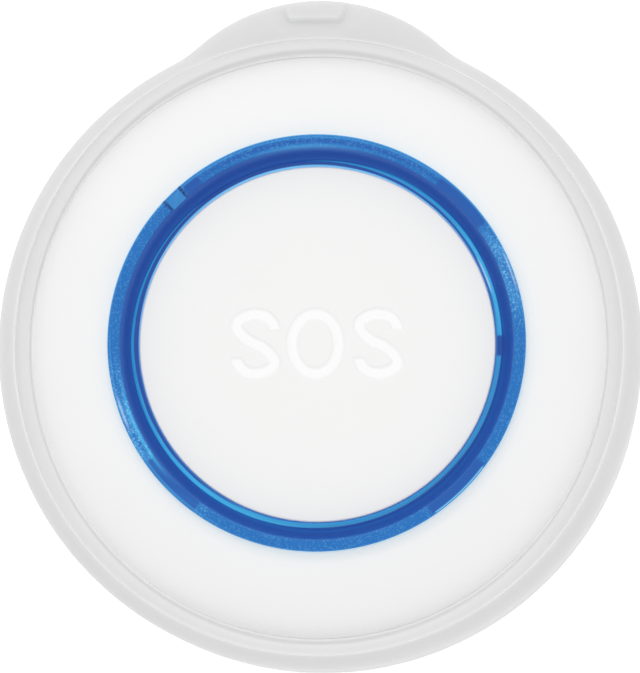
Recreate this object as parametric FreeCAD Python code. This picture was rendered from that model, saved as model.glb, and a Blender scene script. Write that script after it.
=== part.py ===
import FreeCAD, Part
import math
import os

# Wireless panic button: a round puck in a soft sleeve, pressed on its large front cap.
# The row frame: +Z comes out of the face, +Y points to the strap lug, z = 0 is the back
# that it lies on, and the cap's axis is x = 0, y = 0. All sizes are in millimetres.

V = FreeCAD.Vector

# What a cut runs past the face it opens, and what added material is rooted in its carrier
OVER = 1.0
CUT_OVER = 0.1
ROOT = 0.2

# Sleeve and its strap lug
SLEEVE_SIDE_T = 1.95
SLEEVE_LIP_T = 0.4
SLEEVE_BACK_LIP_T = 0.85
SLEEVE_FRONT_ROLL = 3.0
SLEEVE_BACK_ROLL = 2.0
SLEEVE_FIT = 0.05
LIP_SIDE_W = 2.7
LIP_END_W = 2.25
LIP_BAND_SIDE_W = 1.2
LIP_BAND_END_W = 1.15
CREST_RISE = 0.8
LUG_STANDOUT = 2.2
LUG_R = 14.3
LUG_BLEND_R = 10.0
LUG_SUNK = 0.03
LUG_RISE = 0.15
LUG_BACK_Z = 1.0
STRAP_BORE_R = 0.6
STRAP_SUNK = 0.25
STRAP_INSET = 2.4
STRAP_FOOT_W = 3.9
STRAP_TOP_W = 6.0
STRAP_BEND_R = 0.9
STRAP_RUN_OUT = 0.75

# Housing shells
SHELL_WALL = 1.6
FLOOR_T = 1.4
FACE_T = 1.2
REAR_CHAMFER = 0.8
REBATE_W = 1.8
TONGUE_T = 0.45
TONGUE_H = 0.7
TONGUE_FIT = 0.05
TONGUE_CLEAR = 0.1
ROLL_INSET = 0.1
RING_PROUD = 0.8
FACE_DROP = 4.7
BUTT_SEAL_W = 0.6
BUTT_SEAL_H = 0.5
SEAL_CLEAR = 0.05

# Light ring
RING_W = 2.25
RING_GAP = 0.1
RING_BAND_W = 0.92
RING_LEDGE_W = 0.27
RING_FALL = 2.2
RING_BAND_FALL = 0.1
FLANGE_W = 0.8
FLANGE_T = 0.55
FLANGE_GAP = 0.2
LEG_W = 3.0
LEG_T = 1.2
LEG_COUNT = 4
LEG_GAP = 0.15
LEG_START = 45.0
KEY_ANGLE = 133.0
KEY_W = 1.4
KEY_H = 0.12
KEY_SET = 0.15

# Button cap
CAP_GAP = 0.15
CAP_T = 1.2
CAP_CROWN = 0.1
CAP_EDGE_R = 0.45
CAP_RECESS = 1.5
CAP_TRAVEL = 0.4
SKIRT_T = 1.0
SKIRT_DROP = 0.05
HOOK_W = 3.0
HOOK_T = 0.8
HOOK_NOSE = 0.6
HOOK_NOSE_H = 0.7
HOOK_NOSE_LIP = 0.25
HOOK_GAP = 0.1
HOOK_COUNT = 4
BOSS_R = 2.0
BOSS_H = 0.65
RIB_T = 0.7
RIB_H = 0.5
RIB_COUNT = 6
RIB_START = 30.0
RIB_DOME_GAP = 0.6

# Return dome
DOME_FOOT_R = 10.2
DOME_FOOT_W = 1.5
DOME_FOOT_H = 0.5
DOME_TOP_R = 7.4
DOME_TOP_W = 1.3
DOME_WALL = 0.7

# Circuit board and what stands on it
BOARD_T = 1.0
BOARD_CLEAR = 0.6
SWITCH_SIDE = 6.2
SWITCH_H = 1.2
SWITCH_COVER_T = 0.15
SWITCH_FLOOR = 0.3
FLAP_W = 3.1
FLAP_H = 0.72
PLUNGER_R = 1.6
PLUNGER_FLANGE_W = 0.4
PLUNGER_FLANGE_H = 0.3
PLUNGER_GAP = 0.08
TOUCH_GAP = 0.05
LED_L = 2.0
LED_W = 1.6
LED_H = 0.8
RADIO_L = 10.0
RADIO_W = 5.2
RADIO_H = 1.6
RADIO_CHAMFER = 0.3
RADIO_ANGLE = 270.0
CHIP_SIDE = 5.0
CHIP_H = 0.9
CHIP_ANGLE = 0.0
ANTENNA_L = 6.5
ANTENNA_W = 2.0
ANTENNA_H = 1.1
ANTENNA_ANGLE = 90.0
CRYSTAL_L = 3.2
CRYSTAL_W = 2.5
CRYSTAL_H = 0.8
CRYSTAL_ANGLE = 180.0
CAPACITOR_L = 1.6
CAPACITOR_W = 0.8
CAPACITOR_H = 0.8
CAPACITOR_INSET = 3.2
PART_INSET = 0.2
PART_CHAMFER = 0.15

# Coin cell and its contacts
CELL_R = 12.25
CELL_H = 5.0
CELL_CLEAR = 0.35
CELL_STEP_W = 1.35
CELL_STEP_H = 0.3
CELL_EDGE = 0.3
CONTACT_SPACE = 0.85
CONTACT_T = 0.2
CONTACT_W = 3.0
CONTACT_PAD = 3.0
CONTACT_REACH = 7.0
CONTACT_TIP = 3.0
CONTACT_FOOT = 1.75
CONTACT_ANGLE = 180.0
CUP_WALL = 1.0
CUP_GAP = 0.3
CUP_SILL = 0.5

# Battery door: a bayonet turned with a coin
DOOR_T = 1.0
DOOR_FACE_GAP = 0.05
DOOR_SIDE_GAP = 0.1
DOOR_SEAT_W = 1.5
DOOR_TURN = 35.0
DOOR_THROAT_GAP = 0.3
SPIGOT_T = 0.8
TAB_T = 0.6
TAB_W = 1.1
TAB_ANGLE = 26.0
TAB_COUNT = 3
TAB_START = 90.0
TAB_GAP = 0.1
NOTCH_EXTRA = 4.0
LEDGE_T = 0.6
ROOF_T = 0.6
BAYONET_WALL = 0.6
STOP_ANGLE = 4.0
STOP_GAP_ANGLE = 1.5
COIN_SLOT_L = 13.0
COIN_SLOT_W = 1.8
COIN_SLOT_D = 0.7
COIN_RIB_W = 4.0
COIN_RIB_L = 15.0
COIN_RIB_H = 0.6
O_RING_R = 0.27
O_RING_SPACE = 0.1

# Screws
SCREW_COUNT = 4
SCREW_START = 45.0
SCREW_INSET = 2.4
SCREW_R = 0.9
SCREW_CLEAR = 0.15
SCREW_BITE = 0.02
SCREW_HEAD_R = 1.6
SCREW_HEAD_H = 1.3
SCREW_HEAD_CLEAR = 0.15
SCREW_SUNK = 0.3
SCREW_GRIP = 2.2
SCREW_TIP_CLEAR = 0.3
CROSS_W = 0.45
CROSS_L = 1.9
CROSS_D = 0.7
TOWER_WALL = 0.85
TOWER_GAP = 0.2
POST_R = 1.9

# Heights that follow, from the back outwards
LEDGE_Z = DOOR_T + DOOR_FACE_GAP
RACE_Z = LEDGE_Z + LEDGE_T
TAB_Z = RACE_Z + TAB_GAP
TAB_TOP_Z = TAB_Z + TAB_T
CELL_Z = TAB_TOP_Z + TAB_GAP
CELL_TOP_Z = CELL_Z + CELL_H
ROOF_TOP_Z = CELL_Z + ROOF_T
BOARD_Z = CELL_TOP_Z + CONTACT_SPACE
BOARD_TOP_Z = BOARD_Z + BOARD_T
PARTING_Z = BOARD_Z - TONGUE_H - TONGUE_CLEAR
SCREW_TIP_Z = BOARD_TOP_Z + SCREW_GRIP
SWITCH_TOP_Z = BOARD_TOP_Z + SWITCH_H
SWITCH_COVER_Z = SWITCH_TOP_Z + SWITCH_COVER_T
PLUNGER_TOP_Z = SWITCH_COVER_Z + CAP_TRAVEL + TOUCH_GAP
BOSS_Z = PLUNGER_TOP_Z + TOUCH_GAP
CAP_UNDER_Z = BOSS_Z + BOSS_H
CAP_EDGE_Z = CAP_UNDER_Z + CAP_T - CAP_CROWN
CAP_TOP_Z = CAP_EDGE_Z + CAP_CROWN
RING_TOP_Z = CAP_EDGE_Z + CAP_RECESS
FACE_TOP_Z = RING_TOP_Z - RING_PROUD
FACE_UNDER_Z = FACE_TOP_Z - FACE_T
FLANGE_TOP_Z = FACE_UNDER_Z - TOUCH_GAP
RING_UNDER_Z = FLANGE_TOP_Z - FLANGE_T
ROLL_Z = FACE_TOP_Z - FACE_DROP

# Radii that follow, from the cell outwards
CELL_STEP_R = CELL_R - CELL_STEP_W
CELL_BORE_R = CELL_R + CELL_CLEAR
SPIGOT_R = CELL_BORE_R
THROAT_R = SPIGOT_R + DOOR_THROAT_GAP
TAB_R = SPIGOT_R + TAB_W
RACE_R = TAB_R + DOOR_THROAT_GAP
DOOR_R = RACE_R + DOOR_SEAT_W
DOOR_BORE_R = DOOR_R + DOOR_SIDE_GAP
O_RING_CIRCLE_R = (RACE_R + DOOR_R) / 2
BAYONET_R = DOOR_BORE_R + BAYONET_WALL
TOWER_R = SCREW_HEAD_R + SCREW_HEAD_CLEAR + TOWER_WALL
SCREW_CIRCLE_R = BAYONET_R + TOWER_GAP + TOWER_R
COVER_INNER_R = SCREW_CIRCLE_R + SCREW_INSET
HOUSING_R = COVER_INNER_R + SHELL_WALL
BODY_R = HOUSING_R + SLEEVE_FIT + SLEEVE_SIDE_T
REAR_INNER_R = COVER_INNER_R - TONGUE_FIT - TONGUE_T
BACK_FLAT_R = HOUSING_R - REBATE_W
BOARD_R = COVER_INNER_R - BOARD_CLEAR
CAPACITOR_R = BOARD_R - CAPACITOR_INSET

# The ring and the cap fill what the screw posts leave
FLANGE_R = SCREW_CIRCLE_R - POST_R - FLANGE_GAP
RING_R = FLANGE_R - FLANGE_W
CAP_BORE_R = RING_R - RING_W
CAP_R = CAP_BORE_R - CAP_GAP
LEG_R = (CAP_BORE_R + RING_R) / 2
FACE_BORE_R = RING_R + RING_GAP
ROLL_START_R = RING_R - ROLL_INSET

# The sleeve's opening and lug follow its round body
OPENING_RX = BODY_R - LIP_SIDE_W
OPENING_RY = BODY_R - LIP_END_W
LUG_REACH = BODY_R + LUG_STANDOUT
STRAP_Y = LUG_REACH - STRAP_INSET

SCREW_ANGLES = [SCREW_START + i * 360.0 / SCREW_COUNT for i in range(SCREW_COUNT)]
LEG_ANGLES = [LEG_START + i * 360.0 / LEG_COUNT for i in range(LEG_COUNT)]
HOOK_ANGLES = [i * 360.0 / HOOK_COUNT for i in range(HOOK_COUNT)]
TAB_ANGLES = [TAB_START + i * 360.0 / TAB_COUNT for i in range(TAB_COUNT)]
CAPACITOR_ANGLES = [62.0, 68.0, 112.0, 118.0, 242.0, 298.0]


def ellipse_height(radius, start_r, end_r, base_z, rise):
    """Height of the front roll at a radius: a quarter ellipse from the wall to the flat face."""
    share = (radius - start_r) / (end_r - start_r)
    return base_z + rise * math.sqrt(1.0 - share * share)


LIP_UNDER_Z = ellipse_height(OPENING_RX, ROLL_START_R, HOUSING_R, ROLL_Z, FACE_DROP) + SLEEVE_FIT
LIP_BAND_Z = LIP_UNDER_Z + SLEEVE_LIP_T
SLEEVE_TOP_Z = LIP_BAND_Z + CREST_RISE
LUG_TOP_Z = LIP_BAND_Z + LUG_RISE
LUG_FRONT_ROLL = LUG_TOP_Z - SLEEVE_TOP_Z + SLEEVE_FRONT_ROLL
LUG_BACK_ROLL = SLEEVE_BACK_ROLL - LUG_BACK_Z


def disc(radius, z0, z1, x=0.0, y=0.0):
    """A plain cylinder standing along Z."""
    return Part.makeCylinder(radius, z1 - z0, V(x, y, z0))


def ring(r_in, r_out, z0, z1):
    """A flat ring round the axis."""
    return disc(r_out, z0, z1).cut(disc(r_in, z0 - OVER, z1 + OVER))


def sector(r_in, r_out, z0, z1, middle, width):
    """The stretch of a flat ring that is width degrees wide, centred on the middle angle."""
    outer = Part.makeCylinder(r_out, z1 - z0, V(0, 0, z0), V(0, 0, 1), width)
    piece = outer.cut(disc(r_in, z0 - OVER, z1 + OVER))
    piece.rotate(V(0, 0, 0), V(0, 0, 1), middle - width / 2)
    return piece


def block(length, width, z0, z1, radius=0.0, angle=0.0):
    """A box with its length along the ring at this radius and angle."""
    piece = Part.makeBox(width, length, z1 - z0, V(radius - width / 2, -length / 2, z0))
    piece.rotate(V(0, 0, 0), V(0, 0, 1), angle)
    return piece


def chamfered_block(length, width, z0, z1, radius, angle, chamfer=PART_CHAMFER):
    """A moulded package: a box with its top edges chamfered."""
    piece = Part.makeBox(width, length, z1 - z0, V(radius - width / 2, -length / 2, z0))
    top = [e for e in piece.Edges if all(abs(v.Z - z1) < 1e-6 for v in e.Vertexes)]
    piece = piece.makeChamfer(chamfer, top)
    piece.rotate(V(0, 0, 0), V(0, 0, 1), angle)
    return piece


def near_edge(length, width):
    """Radius at which a part stands with its outer corners one inset inside the board's edge."""
    corner_r = BOARD_R - PART_INSET
    return math.sqrt(corner_r * corner_r - length * length / 4) - width / 2


def spot(radius, angle):
    """The x and y of a place at this radius and angle."""
    return radius * math.cos(math.radians(angle)), radius * math.sin(math.radians(angle))


def line(p, q):
    """A straight edge of a half section, between two (radius, height) points."""
    return Part.makeLine(V(p[0], 0, p[1]), V(q[0], 0, q[1]))


def chain(points):
    """Straight edges of a half section from point to point."""
    return [line(p, q) for p, q in zip(points, points[1:])]


def corner_arc(start, centre, end, radius):
    """An arc of a half section from start to end about centre, by the short way round."""
    mid = V((start[0] + end[0]) / 2 - centre[0], 0, (start[1] + end[1]) / 2 - centre[1])
    mid.normalize()
    through = V(centre[0], 0, centre[1]) + mid * radius
    return Part.Arc(V(start[0], 0, start[1]), through, V(end[0], 0, end[1])).toShape()


def ellipse_about(centre, first, second):
    """The ellipse about a centre through the ends of its two half axes, whichever is longer."""
    if (first - centre).Length > (second - centre).Length:
        return Part.Ellipse(first, second, centre)
    return Part.Ellipse(second, first, centre)


def roll_arc(start_r, end_r, base_z, rise):
    """The quarter ellipse between the wall, at end_r and base_z, and the flat at start_r."""
    ellipse = ellipse_about(V(start_r, 0, base_z), V(end_r, 0, base_z), V(start_r, 0, base_z + rise))
    first = ellipse.parameter(V(end_r, 0, base_z))
    last = ellipse.parameter(V(start_r, 0, base_z + rise))
    if abs(last - first) > math.pi:
        first, last = max(first, last), min(first, last) + 2 * math.pi
    return Part.ArcOfEllipse(ellipse, min(first, last), max(first, last)).toShape()


def crown_arc(edge_r, edge_z, top_z):
    """The half section of a shallow round crown, from its edge to the axis."""
    rise = top_z - edge_z
    radius = (edge_r * edge_r + rise * rise) / (2 * rise)
    middle_z = top_z - radius + math.sqrt(radius * radius - edge_r * edge_r / 4)
    return Part.Arc(V(edge_r, 0, edge_z), V(edge_r / 2, 0, middle_z), V(0, 0, top_z)).toShape()


def revolved(edges):
    """Turn a closed half section round the axis."""
    face = Part.Face(Part.Wire(edges))
    return face.revolve(V(0, 0, 0), V(0, 0, 1), 360)


def revolved_points(points):
    """Turn a closed half section with straight sides round the axis."""
    return revolved(chain(points + points[:1]))


def ellipse_prism(rx, ry, z0, z1):
    """An upright prism over an ellipse that is a little longer towards the lug."""
    ellipse = ellipse_about(V(0, 0, z0), V(0, ry, z0), V(-rx, 0, z0))
    return Part.Face(Part.Wire([ellipse.toShape()])).extrude(V(0, 0, z1 - z0))


def rounded_path(points, radius, z):
    """A flat path of straight runs joined by tangent arcs of one radius."""
    edges = []
    start = V(points[0][0], points[0][1], z)
    for before, here, after in zip(points, points[1:], points[2:]):
        corner = V(here[0], here[1], z)
        back = (V(before[0], before[1], z) - corner).normalize()
        on = (V(after[0], after[1], z) - corner).normalize()
        half = back.getAngle(on) / 2
        reach = radius / math.tan(half)
        bisector = (back + on).normalize()
        middle = corner + bisector * (radius / math.sin(half) - radius)
        edges.append(Part.makeLine(start, corner + back * reach))
        edges.append(Part.Arc(corner + back * reach, middle, corner + on * reach).toShape())
        start = corner + on * reach
    edges.append(Part.makeLine(start, V(points[-1][0], points[-1][1], z)))
    return Part.Wire(edges)


def fused(first, others):
    """Join solids into one and drop the seams between them."""
    return first.fuse(others).removeSplitter()


def sleeve_body():
    """Outer form of the round part: upright side, wide roll in front, smaller roll behind."""
    back_r = BODY_R - SLEEVE_BACK_ROLL
    front_r = BODY_R - SLEEVE_FRONT_ROLL
    front_z = SLEEVE_TOP_Z - SLEEVE_FRONT_ROLL
    edges = chain([(0, SLEEVE_TOP_Z), (0, 0), (back_r, 0)])
    edges.append(corner_arc((back_r, 0), (back_r, SLEEVE_BACK_ROLL),
                            (BODY_R, SLEEVE_BACK_ROLL), SLEEVE_BACK_ROLL))
    edges.append(line((BODY_R, SLEEVE_BACK_ROLL), (BODY_R, front_z)))
    edges.append(corner_arc((BODY_R, front_z), (front_r, front_z),
                            (front_r, SLEEVE_TOP_Z), SLEEVE_FRONT_ROLL))
    edges.append(line((front_r, SLEEVE_TOP_Z), (0, SLEEVE_TOP_Z)))
    return revolved(edges)


def lug_outline(z):
    """Round top of the lug, with a hollow blend on each side into the round body."""
    root_r = BODY_R - LUG_SUNK
    lug_y = LUG_REACH - LUG_R
    far = root_r + LUG_BLEND_R
    near = LUG_R + LUG_BLEND_R
    blend_y = (far * far - near * near + lug_y * lug_y) / (2 * lug_y)
    blend_x = math.sqrt(far * far - blend_y * blend_y)
    root = V(blend_x, blend_y, 0) * (root_r / far)
    towards = V(blend_x, blend_y - lug_y, 0) * (LUG_R / near)
    crown = V(0, lug_y, 0) + towards
    inward = ((root + crown) * 0.5 - V(blend_x, blend_y, 0)).normalize()
    hollow = V(blend_x, blend_y, 0) + inward * LUG_BLEND_R

    def at(p, side):
        return V(side * p.x, p.y, z)

    return Part.Wire([
        Part.Arc(at(root, -1), at(hollow, -1), at(crown, -1)).toShape(),
        Part.Arc(at(crown, -1), V(0, LUG_REACH, z), at(crown, 1)).toShape(),
        Part.Arc(at(crown, 1), at(hollow, 1), at(root, 1)).toShape(),
        Part.makeLine(at(root, 1), V(0, lug_y, z)),
        Part.makeLine(V(0, lug_y, z), at(root, -1)),
    ])


def rim_edges(solid, z):
    """Curved edges of a prism that lie at one height."""
    return [e for e in solid.Edges
            if isinstance(e.Curve, Part.Circle) and all(abs(v.Z - z) < 1e-6 for v in e.Vertexes)]


def strap_lug():
    """The lug, rolled in front and behind."""
    solid = Part.Face(lug_outline(LUG_BACK_Z)).extrude(V(0, 0, LUG_TOP_Z - LUG_BACK_Z))
    solid = solid.makeFillet(LUG_FRONT_ROLL, rim_edges(solid, LUG_TOP_Z))
    return solid.makeFillet(LUG_BACK_ROLL, rim_edges(solid, LUG_BACK_Z))


def strap_groove():
    """Round channel along a U, sunk just under the lug's top, with both ends at the lug's edge."""
    foot = STRAP_FOOT_W / 2
    top = STRAP_TOP_W / 2
    top_y = LUG_REACH + STRAP_RUN_OUT
    path = rounded_path([(-top, top_y), (-foot, STRAP_Y), (foot, STRAP_Y), (top, top_y)],
                        STRAP_BEND_R, LUG_TOP_Z - STRAP_SUNK)
    start = path.Edges[0].Vertexes[0].Point
    along = path.Edges[0].tangentAt(path.Edges[0].FirstParameter)
    circle = Part.Wire([Part.Circle(start, along, STRAP_BORE_R).toShape()])
    return path.makePipeShell([circle], True, True)


def housing_space():
    """The space that the two closed shells take up inside the sleeve, with its snug fit."""
    wall_r = HOUSING_R + SLEEVE_FIT
    flat_r = BACK_FLAT_R + SLEEVE_FIT
    edges = chain([(0, FACE_TOP_Z + SLEEVE_FIT), (0, -OVER), (flat_r, -OVER),
                   (flat_r, SLEEVE_BACK_LIP_T),
                   (HOUSING_R - REAR_CHAMFER, SLEEVE_BACK_LIP_T),
                   (wall_r, SLEEVE_BACK_LIP_T + REAR_CHAMFER + SLEEVE_FIT), (wall_r, ROLL_Z)])
    edges.append(roll_arc(ROLL_START_R, wall_r, ROLL_Z, FACE_DROP + SLEEVE_FIT))
    edges.append(line((ROLL_START_R, FACE_TOP_Z + SLEEVE_FIT), (0, FACE_TOP_Z + SLEEVE_FIT)))
    return revolved(edges)


def sleeve():
    """Soft sleeve: one moulding with a stepped oval lip in front and the strap lug."""
    solid = fused(sleeve_body(), [strap_lug()])
    top = SLEEVE_TOP_Z + OVER
    solid = solid.cut(ellipse_prism(OPENING_RX + LIP_BAND_SIDE_W, OPENING_RY + LIP_BAND_END_W,
                                    LIP_BAND_Z, top))
    solid = solid.cut(housing_space())
    solid = solid.cut(ellipse_prism(OPENING_RX, OPENING_RY, ROLL_Z, top))
    return solid.cut(strap_groove())


def cover_envelope():
    """Outer form of the front cover before it is hollowed."""
    edges = chain([(0, FACE_TOP_Z), (0, PARTING_Z), (HOUSING_R, PARTING_Z), (HOUSING_R, ROLL_Z)])
    edges.append(roll_arc(ROLL_START_R, HOUSING_R, ROLL_Z, FACE_DROP))
    edges.append(line((ROLL_START_R, FACE_TOP_Z), (0, FACE_TOP_Z)))
    return revolved(edges)


def cover_hollow():
    """The hollow under the front cover, open at the parting line."""
    rise = FACE_UNDER_Z - ROLL_Z
    edges = chain([(0, FACE_UNDER_Z), (0, PARTING_Z - OVER), (COVER_INNER_R, PARTING_Z - OVER),
                   (COVER_INNER_R, ROLL_Z)])
    edges.append(roll_arc(ROLL_START_R, COVER_INNER_R, ROLL_Z, rise))
    edges.append(line((ROLL_START_R, FACE_UNDER_Z), (0, FACE_UNDER_Z)))
    return revolved(edges)


def front_cover():
    """White domed cover with a bore for the light ring and four blind screw posts."""
    envelope = cover_envelope()
    solid = envelope.cut(cover_hollow())
    posts = [disc(POST_R, BOARD_TOP_Z, FACE_TOP_Z, *spot(SCREW_CIRCLE_R, a)).common(envelope)
             for a in SCREW_ANGLES]
    solid = fused(solid, posts)
    pilots = [disc(SCREW_R + SCREW_BITE, BOARD_TOP_Z - OVER, SCREW_TIP_Z + SCREW_TIP_CLEAR,
                   *spot(SCREW_CIRCLE_R, a)) for a in SCREW_ANGLES]
    return solid.cut([disc(FACE_BORE_R, PARTING_Z, FACE_TOP_Z + OVER)] + pilots)


def light_ring():
    """Clear ring: an outer band, a slope down to a narrow ledge, a flange and light-pipe legs."""
    band_r = RING_R - RING_BAND_W
    ledge_r = CAP_BORE_R + RING_LEDGE_W
    ledge_z = RING_TOP_Z - RING_FALL
    solid = revolved_points([
        (CAP_BORE_R, RING_UNDER_Z), (FLANGE_R, RING_UNDER_Z), (FLANGE_R, FLANGE_TOP_Z),
        (RING_R, FLANGE_TOP_Z), (RING_R, RING_TOP_Z), (band_r, RING_TOP_Z - RING_BAND_FALL),
        (ledge_r, ledge_z), (CAP_BORE_R, ledge_z)])
    foot_z = BOARD_TOP_Z + LED_H + LEG_GAP
    legs = [block(LEG_W, LEG_T, foot_z, RING_UNDER_Z + FLANGE_T, LEG_R, a) for a in LEG_ANGLES]
    key = block(KEY_W, RING_BAND_W, RING_TOP_Z - FLANGE_T, RING_TOP_Z + KEY_H - RING_BAND_FALL,
                RING_R - RING_BAND_W / 2 - KEY_SET, KEY_ANGLE)
    return fused(solid, legs + [key])


def button_cap():
    """White cap: crowned top with a rounded edge, skirt, boss, short ribs and four hooks."""
    edge_in = CAP_R - CAP_EDGE_R
    skirt_z = RING_UNDER_Z - SKIRT_DROP
    skirt_in = CAP_R - SKIRT_T
    edges = chain([(0, CAP_TOP_Z), (0, BOSS_Z), (BOSS_R, BOSS_Z), (BOSS_R, CAP_UNDER_Z),
                   (skirt_in, CAP_UNDER_Z), (skirt_in, skirt_z), (CAP_R, skirt_z),
                   (CAP_R, CAP_EDGE_Z - CAP_EDGE_R)])
    edges.append(corner_arc((CAP_R, CAP_EDGE_Z - CAP_EDGE_R), (edge_in, CAP_EDGE_Z - CAP_EDGE_R),
                            (edge_in, CAP_EDGE_Z), CAP_EDGE_R))
    edges.append(crown_arc(edge_in, CAP_EDGE_Z, CAP_TOP_Z))
    solid = revolved(edges)
    nose_top = RING_UNDER_Z - HOOK_GAP
    nose_z = nose_top - HOOK_NOSE_H
    extras = []
    for angle in HOOK_ANGLES:
        leg_r = skirt_in + HOOK_T / 2
        extras.append(block(HOOK_W, HOOK_T, nose_z, CAP_UNDER_Z + ROOT, leg_r, angle))
        extras.append(hook_nose(skirt_in, CAP_BORE_R + HOOK_NOSE, nose_z, nose_top, angle))
    for i in range(RIB_COUNT):
        rib_out = skirt_in + ROOT
        rib_in = DOME_TOP_R + RIB_DOME_GAP
        extras.append(block(RIB_T, rib_out - rib_in, CAP_UNDER_Z - RIB_H, CAP_UNDER_Z + ROOT,
                            (rib_out + rib_in) / 2, RIB_START + i * 360.0 / RIB_COUNT))
    return fused(solid, extras)


def hook_nose(r_in, r_out, z0, z1, angle):
    """Barb of a snap hook: flat on top, sloping back to its foot below."""
    side = Part.makePolygon([V(r_in, 0, z0), V(r_out - HOOK_NOSE, 0, z0),
                             V(r_out, 0, z1 - HOOK_NOSE_LIP), V(r_out, 0, z1), V(r_in, 0, z1),
                             V(r_in, 0, z0)])
    solid = Part.Face(side).extrude(V(0, HOOK_W, 0))
    solid.translate(V(0, -HOOK_W / 2, 0))
    solid.rotate(V(0, 0, 0), V(0, 0, 1), angle)
    return solid


def return_dome():
    """Rubber dome that lifts the cap: a foot on the board, a cone wall and a ring at the top."""
    foot_in = DOME_FOOT_R - DOME_FOOT_W
    foot_top = BOARD_TOP_Z + DOME_FOOT_H
    top = CAP_UNDER_Z - TOUCH_GAP
    top_in = DOME_TOP_R - DOME_TOP_W
    return revolved_points([
        (foot_in, BOARD_TOP_Z), (DOME_FOOT_R, BOARD_TOP_Z), (DOME_FOOT_R, foot_top),
        (foot_in + DOME_WALL, foot_top), (DOME_TOP_R, top - DOME_FOOT_H), (DOME_TOP_R, top),
        (top_in, top), (top_in, top - DOME_FOOT_H), (DOME_TOP_R - DOME_WALL, top - DOME_FOOT_H)])


def circuit_board():
    """Round board with a clearance hole for each screw."""
    holes = [disc(SCREW_R + SCREW_CLEAR, BOARD_Z - OVER, BOARD_TOP_Z + OVER,
                  *spot(SCREW_CIRCLE_R, a))
             for a in SCREW_ANGLES]
    return disc(BOARD_R, BOARD_Z, BOARD_TOP_Z).cut(holes)


def switch_body():
    """Base of the push switch, with a round well that the plunger works in."""
    well_r = PLUNGER_R + PLUNGER_FLANGE_W + PLUNGER_GAP
    base = block(SWITCH_SIDE, SWITCH_SIDE, BOARD_TOP_Z, SWITCH_TOP_Z)
    return base.cut(disc(well_r, BOARD_TOP_Z + SWITCH_FLOOR, SWITCH_TOP_Z + OVER))


def switch_cover():
    """Steel plate over the switch, bent down on two sides, with a hole for the plunger."""
    plate = block(SWITCH_SIDE, SWITCH_SIDE, SWITCH_TOP_Z, SWITCH_COVER_Z)
    flap_r = (SWITCH_SIDE + SWITCH_COVER_T) / 2
    flaps = [block(FLAP_W, SWITCH_COVER_T, SWITCH_TOP_Z - FLAP_H, SWITCH_COVER_Z, flap_r, angle)
             for angle in (0.0, 180.0)]
    solid = fused(plate, flaps)
    return solid.cut(disc(PLUNGER_R + PLUNGER_GAP, SWITCH_TOP_Z - OVER, SWITCH_COVER_Z + OVER))


def switch_plunger():
    """Round plunger, kept in by a flange under the steel plate."""
    flange_top = SWITCH_TOP_Z - TOUCH_GAP
    flange = disc(PLUNGER_R + PLUNGER_FLANGE_W, flange_top - PLUNGER_FLANGE_H, flange_top)
    return fused(flange, [disc(PLUNGER_R, flange_top - PLUNGER_FLANGE_H, PLUNGER_TOP_Z)])


def led(angle):
    """Light under one leg of the ring: a moulded package with a chamfered top."""
    return chamfered_block(LED_L, LED_W, BOARD_TOP_Z, BOARD_TOP_Z + LED_H, LEG_R, angle)


def radio_module():
    """Shielding can over the radio, at the foot of the board."""
    return chamfered_block(RADIO_L, RADIO_W, BOARD_TOP_Z, BOARD_TOP_Z + RADIO_H,
                           near_edge(RADIO_L, RADIO_W), RADIO_ANGLE, RADIO_CHAMFER)


def controller_chip():
    """Flat square chip beside the switch."""
    return chamfered_block(CHIP_SIDE, CHIP_SIDE, BOARD_TOP_Z, BOARD_TOP_Z + CHIP_H,
                           near_edge(CHIP_SIDE, CHIP_SIDE), CHIP_ANGLE)


def chip_antenna():
    """Ceramic aerial at the board's edge, under the lug."""
    return block(ANTENNA_L, ANTENNA_W, BOARD_TOP_Z, BOARD_TOP_Z + ANTENNA_H,
                 near_edge(ANTENNA_L, ANTENNA_W), ANTENNA_ANGLE)


def crystal():
    """Timing crystal in its can."""
    return chamfered_block(CRYSTAL_L, CRYSTAL_W, BOARD_TOP_Z, BOARD_TOP_Z + CRYSTAL_H,
                           near_edge(CRYSTAL_L, CRYSTAL_W), CRYSTAL_ANGLE)


def capacitors():
    """Small capacitors, alike, as one group of separate solids."""
    return Part.makeCompound([block(CAPACITOR_W, CAPACITOR_L, BOARD_TOP_Z,
                                    BOARD_TOP_Z + CAPACITOR_H, CAPACITOR_R, a)
                              for a in CAPACITOR_ANGLES])


def coin_cell():
    """Coin cell: a can with a softened edge and a smaller raised face towards the board."""
    shoulder = CELL_TOP_Z - CELL_STEP_H
    return revolved_points([
        (0, CELL_Z), (CELL_R - CELL_EDGE, CELL_Z), (CELL_R, CELL_Z + CELL_EDGE),
        (CELL_R, shoulder - CELL_EDGE), (CELL_R - CELL_EDGE, shoulder), (CELL_STEP_R, shoulder),
        (CELL_STEP_R, CELL_TOP_Z), (0, CELL_TOP_Z)])


def contact_negative():
    """Leaf spring from the board down to the middle of the cell."""
    half = CONTACT_W / 2
    tip = CONTACT_TIP / 2
    top = BOARD_Z
    low = CELL_TOP_Z
    t = CONTACT_T
    reach = CONTACT_REACH
    side = Part.makePolygon([V(reach + CONTACT_PAD, -half, top), V(reach + CONTACT_PAD, -half, top - t),
                             V(reach, -half, top - t), V(tip, -half, low), V(-tip, -half, low),
                             V(-tip, -half, low + t), V(tip, -half, low + t),
                             V(reach, -half, top), V(reach + CONTACT_PAD, -half, top)])
    return Part.Face(side).extrude(V(0, CONTACT_W, 0))


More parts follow.
